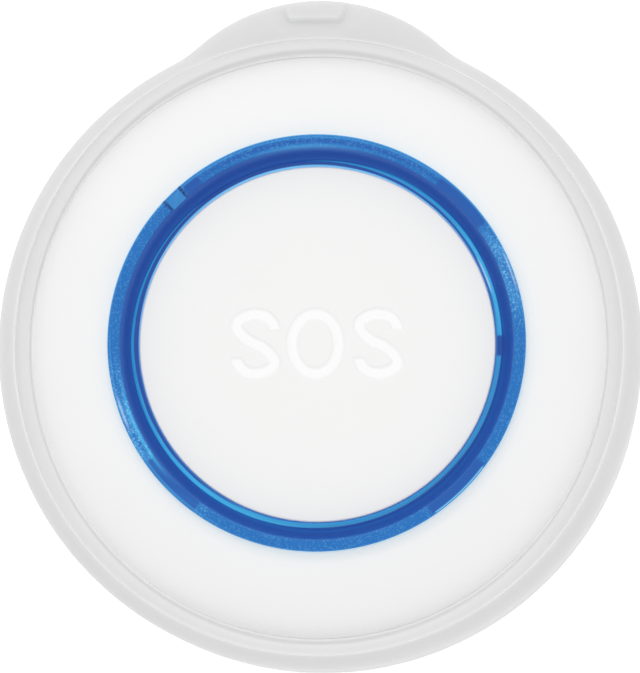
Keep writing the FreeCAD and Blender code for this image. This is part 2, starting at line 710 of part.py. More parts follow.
def contact_positive():
    """Bent strip from the board down the side of the cell, in a slot of the cell's cup."""
    half = CONTACT_W / 2
    t = CONTACT_T
    inner = CELL_R + TOUCH_GAP
    foot = CELL_Z + CONTACT_FOOT
    pad_r = inner + CONTACT_PAD
    side = Part.makePolygon([V(-inner, -half, foot), V(-inner, -half, BOARD_Z),
                             V(-pad_r, -half, BOARD_Z), V(-pad_r, -half, BOARD_Z - t),
                             V(-inner - t, -half, BOARD_Z - t), V(-inner - t, -half, foot),
                             V(-inner, -half, foot)])
    return Part.Face(side).extrude(V(0, CONTACT_W, 0))


def rear_outer():
    """Outer form of the rear shell, rebated for the sleeve's lip and with its butt joint."""
    lip_z = SLEEVE_BACK_LIP_T + SLEEVE_FIT
    tongue_r = REAR_INNER_R + TONGUE_T
    groove_in = (HOUSING_R + tongue_r) / 2 - BUTT_SEAL_W / 2 - SEAL_CLEAR
    groove_out = groove_in + BUTT_SEAL_W + 2 * SEAL_CLEAR
    groove_z = PARTING_Z - BUTT_SEAL_H - SEAL_CLEAR
    return revolved_points([
        (0, 0), (BACK_FLAT_R, 0), (BACK_FLAT_R, lip_z), (HOUSING_R - REAR_CHAMFER, lip_z),
        (HOUSING_R, lip_z + REAR_CHAMFER), (HOUSING_R, PARTING_Z), (groove_out, PARTING_Z),
        (groove_out, groove_z), (groove_in, groove_z), (groove_in, PARTING_Z),
        (tongue_r, PARTING_Z), (tongue_r, PARTING_Z + TONGUE_H), (REAR_INNER_R, PARTING_Z + TONGUE_H),
        (REAR_INNER_R, FLOOR_T), (0, FLOOR_T)])


def bayonet_cuts():
    """Door seat, throat, race, seal groove and entry notches cut into the rear shell."""
    notch_width = TAB_ANGLE + NOTCH_EXTRA
    cuts = [disc(DOOR_BORE_R, -OVER, LEDGE_Z), disc(THROAT_R, 0, RACE_Z + CUT_OVER),
            disc(RACE_R, RACE_Z, CELL_Z), disc(CELL_BORE_R, 0, BOARD_Z),
            ring(O_RING_CIRCLE_R - O_RING_R - O_RING_SPACE, O_RING_CIRCLE_R + O_RING_R + O_RING_SPACE,
                 0, LEDGE_Z + 2 * O_RING_R + TOUCH_GAP)]
    cuts += [sector(THROAT_R - OVER, RACE_R, 0, RACE_Z + CUT_OVER, a - DOOR_TURN, notch_width)
             for a in TAB_ANGLES]
    return cuts


def rear_shell():
    """Rear shell: floor, wall, screw towers, cell cup and the bayonet seat for the door."""
    cup_r = CELL_BORE_R + CUP_WALL
    cup_top = CELL_TOP_Z - CELL_STEP_H
    root_z = FLOOR_T - ROOT
    parts = [disc(BAYONET_R, root_z, ROOF_TOP_Z), disc(cup_r, root_z, cup_top)]
    towers = [disc(TOWER_R, root_z, BOARD_Z, *spot(SCREW_CIRCLE_R, a)) for a in SCREW_ANGLES]
    inside = disc(REAR_INNER_R + TONGUE_T, 0, BOARD_Z)
    solid = fused(rear_outer(), parts + [t.common(inside) for t in towers])
    cuts = bayonet_cuts()
    cuts.append(block(CONTACT_W + 2 * CUP_GAP, CONTACT_PAD, ROOF_TOP_Z + CUP_SILL, BOARD_Z,
                      (CELL_BORE_R + cup_r) / 2, CONTACT_ANGLE))
    for angle in SCREW_ANGLES:
        x, y = spot(SCREW_CIRCLE_R, angle)
        cuts.append(disc(SCREW_HEAD_R + SCREW_HEAD_CLEAR, -OVER, SCREW_SUNK + SCREW_HEAD_H, x, y))
        cuts.append(disc(SCREW_R + SCREW_CLEAR, 0, BOARD_Z + OVER, x, y))
    solid = solid.cut(cuts)
    stop_middle = TAB_ANGLE / 2 + STOP_GAP_ANGLE + STOP_ANGLE / 2
    stops = [sector(THROAT_R, RACE_R + ROOT, RACE_Z - ROOT, CELL_Z + ROOT, a + stop_middle,
                    STOP_ANGLE) for a in TAB_ANGLES]
    return fused(solid, stops)


def battery_door():
    """Round door flush with the back: spigot, three bayonet tabs and a coin slot over a rib."""
    plate = disc(DOOR_R, 0, DOOR_T)
    spigot = ring(SPIGOT_R - SPIGOT_T, SPIGOT_R, DOOR_T - ROOT, TAB_TOP_Z)
    tabs = [sector(SPIGOT_R - SPIGOT_T / 2, TAB_R, TAB_Z, TAB_TOP_Z, a, TAB_ANGLE)
            for a in TAB_ANGLES]
    rib = block(COIN_RIB_W, COIN_RIB_L, DOOR_T - ROOT, DOOR_T + COIN_RIB_H)
    solid = fused(plate, [spigot, rib] + tabs)
    slot = block(COIN_SLOT_W, COIN_SLOT_L, -OVER, COIN_SLOT_D)
    ends = [disc(COIN_SLOT_W / 2, -OVER, COIN_SLOT_D, side * COIN_SLOT_L / 2, 0)
            for side in (-1, 1)]
    return solid.cut([slot] + ends)


def door_seal():
    """Round-section seal in the groove round the door's throat."""
    return Part.makeTorus(O_RING_CIRCLE_R, O_RING_R, V(0, 0, LEDGE_Z + O_RING_R + TOUCH_GAP / 2))


def housing_seal():
    """Flat seal in the groove of the joint between the two shells."""
    middle = (HOUSING_R + REAR_INNER_R + TONGUE_T) / 2
    return ring(middle - BUTT_SEAL_W / 2, middle + BUTT_SEAL_W / 2,
                PARTING_Z - BUTT_SEAL_H, PARTING_Z)


def housing_screws():
    """Four cross-headed screws from the back into the front cover's posts."""
    screws = []
    for angle in SCREW_ANGLES:
        x, y = spot(SCREW_CIRCLE_R, angle)
        head_top = SCREW_SUNK + SCREW_HEAD_H
        head = disc(SCREW_HEAD_R, SCREW_SUNK, head_top, x, y)
        screw = fused(head, [disc(SCREW_R, head_top - ROOT, SCREW_TIP_Z, x, y)])
        for turn in (0, 90):
            bar = Part.makeBox(CROSS_L, CROSS_W, CROSS_D, V(-CROSS_L / 2, -CROSS_W / 2, SCREW_SUNK))
            bar.rotate(V(0, 0, 0), V(0, 0, 1), angle + turn)
            bar.translate(V(x, y, 0))
            screw = screw.cut(bar)
        screws.append(screw)
    return Part.makeCompound(screws)


def save(name, shape):
    """Write one node's solids."""
    shape.exportStep("parts/" + name + ".step")
    print(name, "solids", len(shape.Solids), "valid", shape.isValid(),
          "volume %.2f" % shape.Volume)


def main():
    os.makedirs("parts", exist_ok=True)
    save("sleeve", sleeve())
    save("front_cover", front_cover())
    save("light_ring", light_ring())
    save("button_cap", button_cap())
    save("return_dome", return_dome())
    save("circuit_board", circuit_board())
    save("switch_body", switch_body())
    save("switch_cover", switch_cover())
    save("switch_plunger", switch_plunger())
    for number, angle in enumerate(LEG_ANGLES, 1):
        save("led_%d" % number, led(angle))
    save("radio_module", radio_module())
    save("controller_chip", controller_chip())
    save("chip_antenna", chip_antenna())
    save("crystal", crystal())
    save("capacitors", capacitors())
    save("coin_cell", coin_cell())
    save("contact_negative", contact_negative())
    save("contact_positive", contact_positive())
    save("rear_shell", rear_shell())
    save("battery_door", battery_door())
    save("door_seal", door_seal())
    save("housing_seal", housing_seal())
    save("housing_screws", housing_screws())


main()
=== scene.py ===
import math
import bpy
import numpy as np
from bpy.props import FloatProperty, FloatVectorProperty, PointerProperty
from bpy.types import Operator, Panel, PropertyGroup
from mathutils import Matrix, Vector


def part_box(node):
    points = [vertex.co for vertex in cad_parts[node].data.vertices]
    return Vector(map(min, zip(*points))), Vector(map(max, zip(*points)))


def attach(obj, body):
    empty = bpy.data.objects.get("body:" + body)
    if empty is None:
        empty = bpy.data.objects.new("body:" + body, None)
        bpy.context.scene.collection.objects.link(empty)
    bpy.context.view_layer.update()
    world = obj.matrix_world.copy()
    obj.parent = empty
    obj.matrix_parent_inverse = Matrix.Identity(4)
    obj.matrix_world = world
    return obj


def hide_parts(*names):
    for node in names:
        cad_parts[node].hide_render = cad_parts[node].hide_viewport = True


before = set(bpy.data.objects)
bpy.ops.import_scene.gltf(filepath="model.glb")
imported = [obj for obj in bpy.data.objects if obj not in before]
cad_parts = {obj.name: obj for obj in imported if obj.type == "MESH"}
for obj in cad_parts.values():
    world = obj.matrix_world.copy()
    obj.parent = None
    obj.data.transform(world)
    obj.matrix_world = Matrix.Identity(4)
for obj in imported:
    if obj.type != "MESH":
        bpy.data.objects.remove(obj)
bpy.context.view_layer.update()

bl_info = {
    "name": "Wireless panic button",
    "version": (1, 0, 0),
    "blender": (4, 5, 0),
    "location": "3D View > Sidebar > Panic button",
    "description": "Dresses the packed panic button: sleeve, cover, light ring, cap and stage",
    "category": "Object",
}

MM = 0.001
PHOTO_WIDTH = 640
PHOTO_HEIGHT = 673
STEP = 0.05 * MM

# Emission strengths, all painted glow. The ring's, the ledge's and the lip's stand in for light
# that comes through them, the rim's also lifts the shade in the gap beside the cap, and the
# glints' goes with their painted white.
RING_GLOW = 0.12
LEDGE_GLOW = 0.1
RIM_GLOW = 0.35
GLINT_GLOW = 0.3
LIP_GLOW = 0.16

# Where each lamp stands, its width and height, all in metres, and its power in watts
LAMPS = {
    "key_lamp": ((-0.16, 0.42, 0.52), 0.80, 0.25, 0.6),
    "fill_lamp": ((0.45, -0.35, 0.45), 0.40, 0.40, 0.2),
    "left_glint_lamp": ((-0.180, 0.003, 0.624), 0.04, 0.04, 0.04),
    "right_glint_lamp": ((0.117, 0.111, 0.630), 0.04, 0.04, 0.03),
}


def low(node):
    """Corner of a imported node's box with the least x, y and z, in metres."""
    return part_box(node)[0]


def high(node):
    """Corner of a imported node's box with the greatest x, y and z, in metres."""
    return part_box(node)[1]


def length(name, millimetres, description):
    """A length that the user may change, given here in millimetres and kept in metres."""
    return FloatProperty(name=name, description=description, default=millimetres * MM,
                         unit="LENGTH", precision=5)


def placed(name, metres, description):
    """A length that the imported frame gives, already in metres."""
    return FloatProperty(name=name, description=description, default=metres,
                         unit="LENGTH", precision=5)


def linear(red, green, blue):
    """Scene-linear colour of a picture colour given from 0 to 255."""
    share = np.array([red, green, blue]) / 255.0
    lit = np.where(share <= 0.04045, share / 12.92, ((share + 0.055) / 1.055) ** 2.4)
    return tuple(float(v) for v in lit)


def colour(name, red, green, blue, description):
    """A colour that the user may change."""
    return FloatVectorProperty(name=name, description=description, subtype="COLOR", size=3,
                               min=0.0, max=1.0, default=linear(red, green, blue))


class SleeveSizes(PropertyGroup):
    """Sizes of the soft sleeve and its strap lug."""
    body_r: placed("Body radius", high("sleeve").x, "Radius of the round side")
    reach: placed("Lug reach", high("sleeve").y, "How far the lug's top lies from the axis")
    side_r: placed("Inner wall", high("front_cover").x + 0.05 * MM, "Radius of the inner wall")
    cover_z: placed("Cover top", high("front_cover").z, "Height of the white cover's top")
    cover_roll: length("Cover roll", 7.05, "Width of the cover's roll under the lip")
    cover_drop: length("Cover drop", 4.7, "Height of the cover's roll under the lip")
    front_roll: length("Front roll", 3.0, "Radius of the roll from the side to the front")
    back_roll: length("Back roll", 2.0, "Radius of the roll from the side to the back")
    opening_x: length("Opening half width", 22.3, "Half width of the oval opening")
    opening_y: length("Opening half height", 22.75, "Half height of the oval opening")
    band: length("Lip band", 1.2, "Width of the lip's flat band, up to the crest")
    band_z: length("Lip band height", 11.40, "Height of the lip's flat band")
    crest_rise: length("Crest rise", 0.8, "Height of the roll's top over the lip band")
    lug_r: length("Lug radius", 14.3, "Radius of the lug's round top")
    lug_blend: length("Lug blend", 10.0, "Radius of the hollow blends beside the lug")
    lug_rise: length("Lug rise", 0.15, "Height of the lug's flat over the lip band")
    lug_back: length("Lug back", 1.0, "Height of the lug's back face")
    back_lip_t: length("Back lip", 0.85, "Thickness of the lip behind the housing")
    back_lip_r: length("Back lip radius", 21.25, "Inner radius of the lip behind the housing")
    groove_r: length("Groove reach", 0.95, "Half width over which the strap groove fades")
    groove_depth: length("Groove depth", 0.68, "Depth of the strap groove beside its boss")
    groove_y: length("Groove foot", 24.8, "How far the groove's cross run lies from the axis")
    groove_foot: length("Groove foot half width", 2.45, "Half width of the groove's U at its foot")
    groove_top: length("Groove top half width", 3.15, "Half width of the U at the lug's edge")
    groove_x: length("Groove middle", -0.3, "How far the groove's middle lies to the right")
    groove_bend: length("Groove bend", 0.9, "Radius of the two bends of the groove")
    soften: length("Softening", 0.25, "Width over which moulded forms run into each other")
    feather: length("Feather edge", 0.12, "How far the lip's thin edge reaches in over the cover")
    feather_w: length("Feather width", 0.45, "Width over which the lip thins out to its edge")


class CoverSizes(PropertyGroup):
    """Sizes of the white cover."""
    outer_r: placed("Cover radius", high("front_cover").x, "Outer radius of the cover")
    top_z: placed("Cover top", high("front_cover").z, "Height of the cover's top")
    foot_z: placed("Cover foot", low("front_cover").z, "Height of the joint with the rear shell")
    bore_r: length("Ring bore", 16.09, "Radius of the bore that holds the light ring")
    roll_r: length("Roll start", 16.0, "Radius where the domed roll starts")
    drop: length("Roll drop", 4.7, "Height that the domed roll falls by")
    wall: length("Wall", 1.6, "Thickness of the cover's side")
    face_t: length("Face thickness", 1.2, "Thickness of the cover's face")
    edge: length("Edge break", 0.04, "Softening of the cover's edges")
    post_r: length("Post radius", 1.9, "Radius of the screw posts")
    post_bore: length("Post bore", 0.92, "Radius of the screw posts' blind holes")
    post_circle: length("Post circle", 19.0, "Radius on which the screw posts stand")
    post_top: length("Post top", 12.1, "Height of the posts' roots in the dome")
    post_hole: length("Post hole top", 11.8, "Height of the blind holes' ends")


class RingSizes(PropertyGroup):
    """Sizes of the clear blue light ring."""
    flange_r: placed("Flange radius", high("light_ring").x, "Radius of the flange under the cover")
    foot_z: placed("Leg foot", low("light_ring").z, "Height of the light-pipe legs' feet")
    top_z: length("Ring top", 14.4, "Height of the ring's outer edge")
    outer_r: length("Ring radius", 16.1, "Outer radius of the ring")
    bore_r: length("Ring bore", 13.76, "Inner radius of the ring")
    band: length("Outer band", 0.92, "Width of the grained outer band")
    band_fall: length("Band fall", 0.1, "How much the outer band falls inwards")
    band_rise: length("Band crown", 0.05, "How far the band's middle stands over its edges")
    ledge: length("Ledge", 0.48, "Width of the flat ledge at the cap")
    fall: length("Ledge depth", 2.2, "Depth of the ledge under the ring's top")
    under_z: length("Ring underside", 11.8, "Height of the ring's underside")
    flange_top: length("Flange top", 12.35, "Height of the flange's top")
    edge: length("Edge break", 0.09, "Softening of the ring's edges")
    leg_w: length("Leg width", 3.0, "Width of a light-pipe leg")
    leg_t: length("Leg thickness", 1.2, "Thickness of a light-pipe leg")
    key_w: length("Key width", 1.32, "Width of the locating key")
    key_rise: length("Key rise", 0.02, "How far the key stands over the outer edge")
    key_angle: FloatProperty(name="Key angle", description="Where the locating key lies",
                             default=math.radians(134.3), subtype="ANGLE")


class CapSizes(PropertyGroup):
    """Sizes of the white press cap and its lettering."""
    top_z: placed("Cap top", high("button_cap").z, "Height of the cap's crown")
    foot_z: placed("Hook foot", low("button_cap").z, "Height of the snap hooks' feet")
    outer_r: length("Cap radius", 13.745, "Outer radius of the cap")
    crown: length("Crown", 0.1, "Rise of the crown over the cap's edge")
    edge: length("Edge radius", 0.15, "Radius of the cap's rounded edge")
    wall: length("Wall", 1.2, "Thickness of the cap's top")
    skirt: length("Skirt thickness", 1.0, "Thickness of the cap's skirt")
    skirt_z: length("Skirt foot", 11.75, "Height of the skirt's foot")
    boss_r: length("Boss radius", 2.0, "Radius of the boss over the switch")
    boss_z: length("Boss foot", 11.15, "Height of the boss's foot")
    hook_r: length("Hook reach", 14.45, "Radius of the snap hooks' noses")
    hook_t: length("Hook thickness", 0.8, "Thickness of a snap hook's leg")
    hook_w: length("Hook width", 3.0, "Width of a snap hook")
    nose_h: length("Nose height", 0.7, "Height of a snap hook's nose")
    nose_top: length("Nose top", 11.7, "Height of the snap hooks' catching faces")
    letter_h: length("Letter height", 5.40, "Height of the letters")
    stroke: length("Letter stroke", 0.80, "Width of the letters' strokes")
    sunk: length("Letter depth", 0.16, "Depth of the letters")
    wall_w: length("Letter wall", 0.26, "Width over which the letters' walls fall")
    cut_y: length("S end", 1.12, "How far the level ends of the letter S lie from its middle")
    s_half: length("S half width", 1.5, "Half width of the letter S, to the stroke's middle")
    o_half: length("O half width", 1.8, "Half width of the letter O, to the stroke's middle")
    first_x: length("First letter", -4.76, "Where the middle of the first letter lies")
    middle_x: length("Middle letter", -0.14, "Where the middle of the second letter lies")
    last_x: length("Last letter", 4.70, "Where the middle of the third letter lies")
    text_y: length("Letter line", 0.03, "Height of the letters' middle line over the axis")


class Finish(PropertyGroup):
    """Colours of the button's materials, as a picture shows them."""
    rubber: colour("Milky rubber", 221, 221, 221, "Soft translucent sleeve")
    # painted light: the lighter colour and glow of the lip's thin edge, its band and the crest
    rubber_painted_light: colour("Thin rubber", 238, 238, 238, "Thin edge of the sleeve's lip")
    shell: colour("White shell", 244, 244, 244, "Cover and rear shell")
    cap: colour("White cap", 245, 245, 244, "Press cap")
    letter: colour("Letters", 251, 251, 251, "Filled letters in the cap")
    ring_low: colour("Ring, low", 49, 93, 174, "Unlit ledge of the light ring")
    ring_dark: colour("Ring, deep", 36, 75, 157, "Slope of the light ring")
    ring_high: colour("Ring, high", 10, 80, 166, "Top of the slope, beside the outer band")
    ring_mid: colour("Ring, middle", 32, 106, 180, "Outer band of the light ring")
    # painted light of the lit ledge, and a painted highlight line on the band at the lower left
    ring_bright: colour("Ring, bright", 70, 184, 230, "Ledge of the light ring")
    # also painted light on the rim, painted sparkle and painted highlights along the ring's edges
    ring_edge: colour("Ring, edge", 66, 146, 208, "Outer edge of the light ring")
    # also the rim's painted light and a painted highlight at the lower right
    ring_pale: colour("Ring, pale", 122, 198, 238, "Rim and specks of the light ring")
    seal: colour("Seal rubber", 60, 62, 66, "Door seal and joint seal")
    dome: colour("Return dome", 208, 208, 206, "Silicone dome under the cap")
    board: colour("Board", 24, 84, 58, "Circuit board")
    black: colour("Black plastic", 38, 39, 42, "Switch body, plunger and chip")
    ceramic: colour("Ceramic", 214, 206, 190, "Antenna and capacitors")
    led: colour("Light body", 240, 236, 205, "Lights under the ring's legs")
    metal: colour("Metal", 196, 197, 200, "Cans, contacts, screws and cell")


class StageSetting(PropertyGroup):
    """Camera, lamps and floor."""
    azimuth: FloatProperty(name="Azimuth", description="Where the camera stands round the axis",
                           default=math.radians(29.0), subtype="ANGLE")
    elevation: FloatProperty(name="Elevation", description="How high the camera stands",
                             default=math.radians(84.24), subtype="ANGLE")
    distance: length("Camera distance", 450.0, "From the camera to the button")
    seen_height: length("Seen height", 52.69, "Height of the picture at the button")
    aim_z: length("Aim height", 5.6, "Height of the outline's middle")
    centre_x: FloatProperty(name="Centre, across", default=321.8,
                            description="Where the outline's middle lies in the picture, in pixels")
    centre_y: FloatProperty(name="Centre, down", default=352.0,
                            description="Where the outline's middle lies in the picture, in pixels")
    world: FloatProperty(name="World light", default=0.885, min=0.0,
                         description="Strength of the even white light from all round")
    floor_size: length("Floor size", 2400.0, "Side of the square floor")
    floor_glow: FloatProperty(name="Floor whiteness", default=0.3, min=0.0,
                              description="How far the floor is lifted to white where it is seen")


def grid_quads(rows, columns, close_rows=True, close_columns=True):
    """Corner numbers of the quads between neighbouring points of a grid, row by row."""
    row = np.arange(rows if close_rows else rows - 1)[:, None]
    column = np.arange(columns if close_columns else columns - 1)[None, :]
    next_row = (row + 1) % rows
    next_column = (column + 1) % columns
    quads = np.stack(np.broadcast_arrays(row * columns + column, row * columns + next_column,
                                         next_row * columns + next_column,
                                         next_row * columns + column), axis=-1)
    return quads.reshape(-1, 4)


def make_mesh(name, shells):
    """One mesh from several shells, each an array of points and a list of face arrays."""
    points = []
    faces = []
    start = 0
    for shell_points, shell_faces in shells:
        flat = np.asarray(shell_points).reshape(-1, 3)
        points.append(flat)
        for group in shell_faces:
            faces += (np.asarray(group) + start).tolist()
        start += len(flat)
    mesh = bpy.data.meshes.new(name)
    mesh.from_pydata(np.concatenate(points), [], faces)
    mesh.shade_smooth()
    mesh.update()
    return mesh


def marked(mesh, name, values):
    """Give a mesh its own attribute: one value for each of its first points, 0 for the rest."""
    each = np.zeros(len(mesh.vertices), dtype=np.float32)
    each[:values.size] = values.ravel()
    mesh.attributes.new(name, "FLOAT", "POINT").data.foreach_set("value", each)
    return mesh


def add_piece(name, mesh, body, slot, finish, *nodes):
    """Put a finished mesh into the scene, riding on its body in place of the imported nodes."""
    piece = bpy.data.objects.new(name, mesh)
    bpy.context.scene.collection.objects.link(piece)
    mesh.materials.append(finish)
    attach(piece, body)
    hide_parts(*nodes)
    return piece


def turned(section, stations):
    """Carry (radius, height) places round the Z axis: x = r cos a, y = r sin a, z = height."""
    angle = np.linspace(0.0, 2.0 * math.pi, stations, endpoint=False)[:, None]
    r = section[None, :, 0]
    z = np.broadcast_to(section[None, :, 1], (stations, len(section)))
    return np.stack([r * np.cos(angle), r * np.sin(angle), z], axis=-1)


def turned_shell(section, stations):
    """Shell of a closed section turned round the Z axis."""
    return turned(section, stations), [grid_quads(stations, len(section))]


def capped_shell(points, top_z, foot_z):
    """Close a turned grid whose section runs from the upper pole to the lower one."""
    rows, columns = points.shape[:2]
    poles = np.array([[0.0, 0.0, top_z], [0.0, 0.0, foot_z]])
    row = np.arange(rows)
    next_row = (row + 1) % rows
    upper = np.stack([np.full(rows, rows * columns), row * columns, next_row * columns], axis=-1)
    lower = np.stack([np.full(rows, rows * columns + 1), next_row * columns + columns - 1,
                      row * columns + columns - 1], axis=-1)
    quads = grid_quads(rows, columns, close_columns=False)
    return np.concatenate([points.reshape(-1, 3), poles]), [quads, upper, lower]


def rounded_section(corners, cut, steps=7):
    """Closed section whose corners are rounded: at each corner P, with A and B one cut away on
    either side, the places are (1-t)(1-t) A + 2t(1-t) P + t t B, and one more 1.6 cuts away on
    each run."""
    corner = np.array(corners, dtype=float)
    back = np.roll(corner, 1, axis=0) - corner
    on = np.roll(corner, -1, axis=0) - corner
    reach = np.broadcast_to(np.asarray(cut, dtype=float), (len(corner),))[:, None]
    back *= reach / np.linalg.norm(back, axis=1, keepdims=True)
    on *= reach / np.linalg.norm(on, axis=1, keepdims=True)
    t = np.linspace(0.0, 1.0, steps)[None, :, None]
    start, middle, end = (corner + back)[:, None, :], corner[:, None, :], (corner + on)[:, None, :]
    bend = (1 - t) ** 2 * start + 2 * t * (1 - t) * middle + t ** 2 * end
    before = (corner + 1.6 * back)[:, None, :]
    after = (corner + 1.6 * on)[:, None, :]
    return np.concatenate([before, bend, after], axis=1).reshape(-1, 2)


def rounded_block(size, cut):
    """Shell of a box about the origin with softened upright edges and broken rims: a rounded
    outline at four levels, pulled in by 0.6 of the cut at the first and the last."""
    half = np.array(size) / 2.0
    corners = half[:2] * np.array([(-1, -1), (1, -1), (1, 1), (-1, 1)])
    outline = rounded_section(corners, cut, 4)
    shrink = 0.6 * cut * np.array([1.0, 0.0, 0.0, 1.0])
    level = np.array([half[2], half[2] - cut, -half[2] + cut, -half[2]])
    flat = outline[:, None, :] - np.sign(outline)[:, None, :] * shrink[None, :, None]
    z = np.broadcast_to(level[None, :, None], flat.shape[:2] + (1,))
    rows = len(outline)
    top = [(np.arange(rows) * 4).tolist()]
    foot = [(np.arange(rows)[::-1] * 4 + 3).tolist()]
    return np.concatenate([flat, z], axis=-1), [grid_quads(rows, 4, close_columns=False), top, foot]


def section_of(r, z):
    """Places of a section from their distances to the axis and their heights."""
    return np.stack(np.broadcast_arrays(r, z), axis=-1)


def between(start, end, *shares):
    """Values at some shares of the way from a start to an end."""
    return start + (end - start) * np.array([shares])


def even_turns(count, first=0.0):
    """Angles of like forms set evenly round the axis."""
    return first + 2.0 * math.pi / count * np.arange(count)


def moved(shell, offset, angle=0.0):
    """Shift a shell, then turn it about the Z axis."""
    points, faces = shell
    flat = points.reshape(-1, 3) + np.array(offset)
    turn = np.array(Matrix.Rotation(angle, 3, "Z"))
    return flat @ turn.T, faces


def smooth_top(a, b, width):
    """The higher of two heights, run together over a width: max(a, b) + h h w / 4."""
    h = np.clip(width - np.abs(a - b), 0.0, None) / np.maximum(width, 1e-9)
    return np.maximum(a, b) + h * h * width / 4.0


def quarter(depth, radius):
    """Height over its foot of a roll of this radius at a depth inside the edge."""
    inner = np.clip(radius - depth, 0.0, radius)
    return np.sqrt(radius * radius - inner * inner)


def ellipse_radius(angle, half_x, half_y):
    """Distance from the middle of an ellipse to its edge at an angle."""
    return 1.0 / np.sqrt((np.cos(angle) / half_x) ** 2 + (np.sin(angle) / half_y) ** 2)


def blend_arc(s):
    """Middle of the hollow blend on the right, one blend radius outside both circles, and the
    angles seen from the axis at which the blend meets the body and the lug."""
    lug_y = s.reach - s.lug_r
    far = s.body_r + s.lug_blend
    near = s.lug_r + s.lug_blend
    fy = (far * far - near * near + lug_y * lug_y) / (2.0 * lug_y)
    fx = math.sqrt(far * far - fy * fy)
    share = s.lug_r / near
    return fx, fy, math.atan2(fy, fx), math.atan2(lug_y + (fy - lug_y) * share, fx * share)


def outline_radius(angle, s):
    """Distance from the axis to the outline: the body circle, the lug circle and, between their
    points of contact, the near side of the blend circle, whichever is furthest out."""
    fx, fy, first, last = blend_arc(s)
    lug_y = s.reach - s.lug_r
    ux, uy = np.abs(np.cos(angle)), np.sin(angle)
    lug = lug_y * uy + np.sqrt(np.clip(s.lug_r ** 2 - (lug_y * ux) ** 2, 0.0, None))
    along = fx * ux + fy * uy
    blend = along - np.sqrt(np.clip(s.lug_blend ** 2 - (fx * fx + fy * fy - along ** 2), 0.0, None))
    folded = np.arctan2(uy, ux)
    return np.where(folded > last, lug, np.where(folded > first, blend, s.body_r))


def lug_depth(x, y, s):
    """Distance inside the lug's outline: from the blend circle within the triangle of the three
    centres, and from the lug circle elsewhere; with the share of the way along the blend."""
    fx, fy, first, last = blend_arc(s)
    lug_y = s.reach - s.lug_r
    side = np.abs(x)
    in_blend = (fx * y - fy * side >= 0) & (fx * (y - lug_y) - (fy - lug_y) * side <= 0)
    to_blend = np.hypot(side - fx, y - fy) - s.lug_blend
    to_lug = s.lug_r - np.hypot(x, y - lug_y)
    way = np.clip((np.arctan2(y, side) - first) / (last - first), 0.0, 1.0)
    return np.where(in_blend, to_blend, to_lug), way


def groove_side(x, y, s):
    """Signed distance to the middle of the strap groove, below 0 on the boss that it runs round:
    that to a trapezoid with rounded corners, open at the lug's edge."""
    rise = s.reach - s.groove_y
    lean = s.groove_top - s.groove_foot
    out = (np.abs(x - s.groove_x) - s.groove_foot) * rise - (y - s.groove_y) * lean
    below = s.groove_y - y + s.groove_bend
    beside = out / math.hypot(rise, lean) + s.groove_bend
    corner = np.hypot(np.maximum(below, 0.0), np.maximum(beside, 0.0))
    return np.minimum(np.maximum(below, beside), 0.0) + corner - s.groove_bend


def front_height(x, y, s):
    """Height of the sleeve's front: the round roll and the lug's flat with its own roll, run
    together, with the strap groove: steep at the boss, and rising softly on its other side."""
    crest_z = s.band_z + s.crest_rise
    spring_z = crest_z - s.front_roll
    lug_z = s.band_z + s.lug_rise
    depth, way = lug_depth(x, y, s)
    body = spring_z + quarter(s.body_r - np.hypot(x, y), s.front_roll)
    lug = spring_z + quarter(depth, lug_z - spring_z)
    top = smooth_top(body, np.where(way > 0.0, lug, spring_z), s.soften * way)
    t = np.clip((groove_side(x, y, s) + s.groove_r) / (2.0 * s.groove_r), 0.0, 1.0)
    dip = s.groove_depth * soft_step(t, 0.2, 0.3) * (1.0 - t) ** 1.5
    return top - dip * np.clip((top - spring_z) / (lug_z - spring_z), 0.0, 1.0)


def back_height(x, y, s):
    """Height of the sleeve's back: the smaller roll, and the lug's back face with its own."""
    depth, way = lug_depth(x, y, s)
    body = s.back_roll - quarter(s.body_r - np.hypot(x, y), s.back_roll)
    lug_roll = s.back_roll - s.lug_back
    lug = s.back_roll - quarter(depth, lug_roll)
    return -smooth_top(-body, np.where(way > 0.0, -lug, -s.back_roll), s.soften * way)


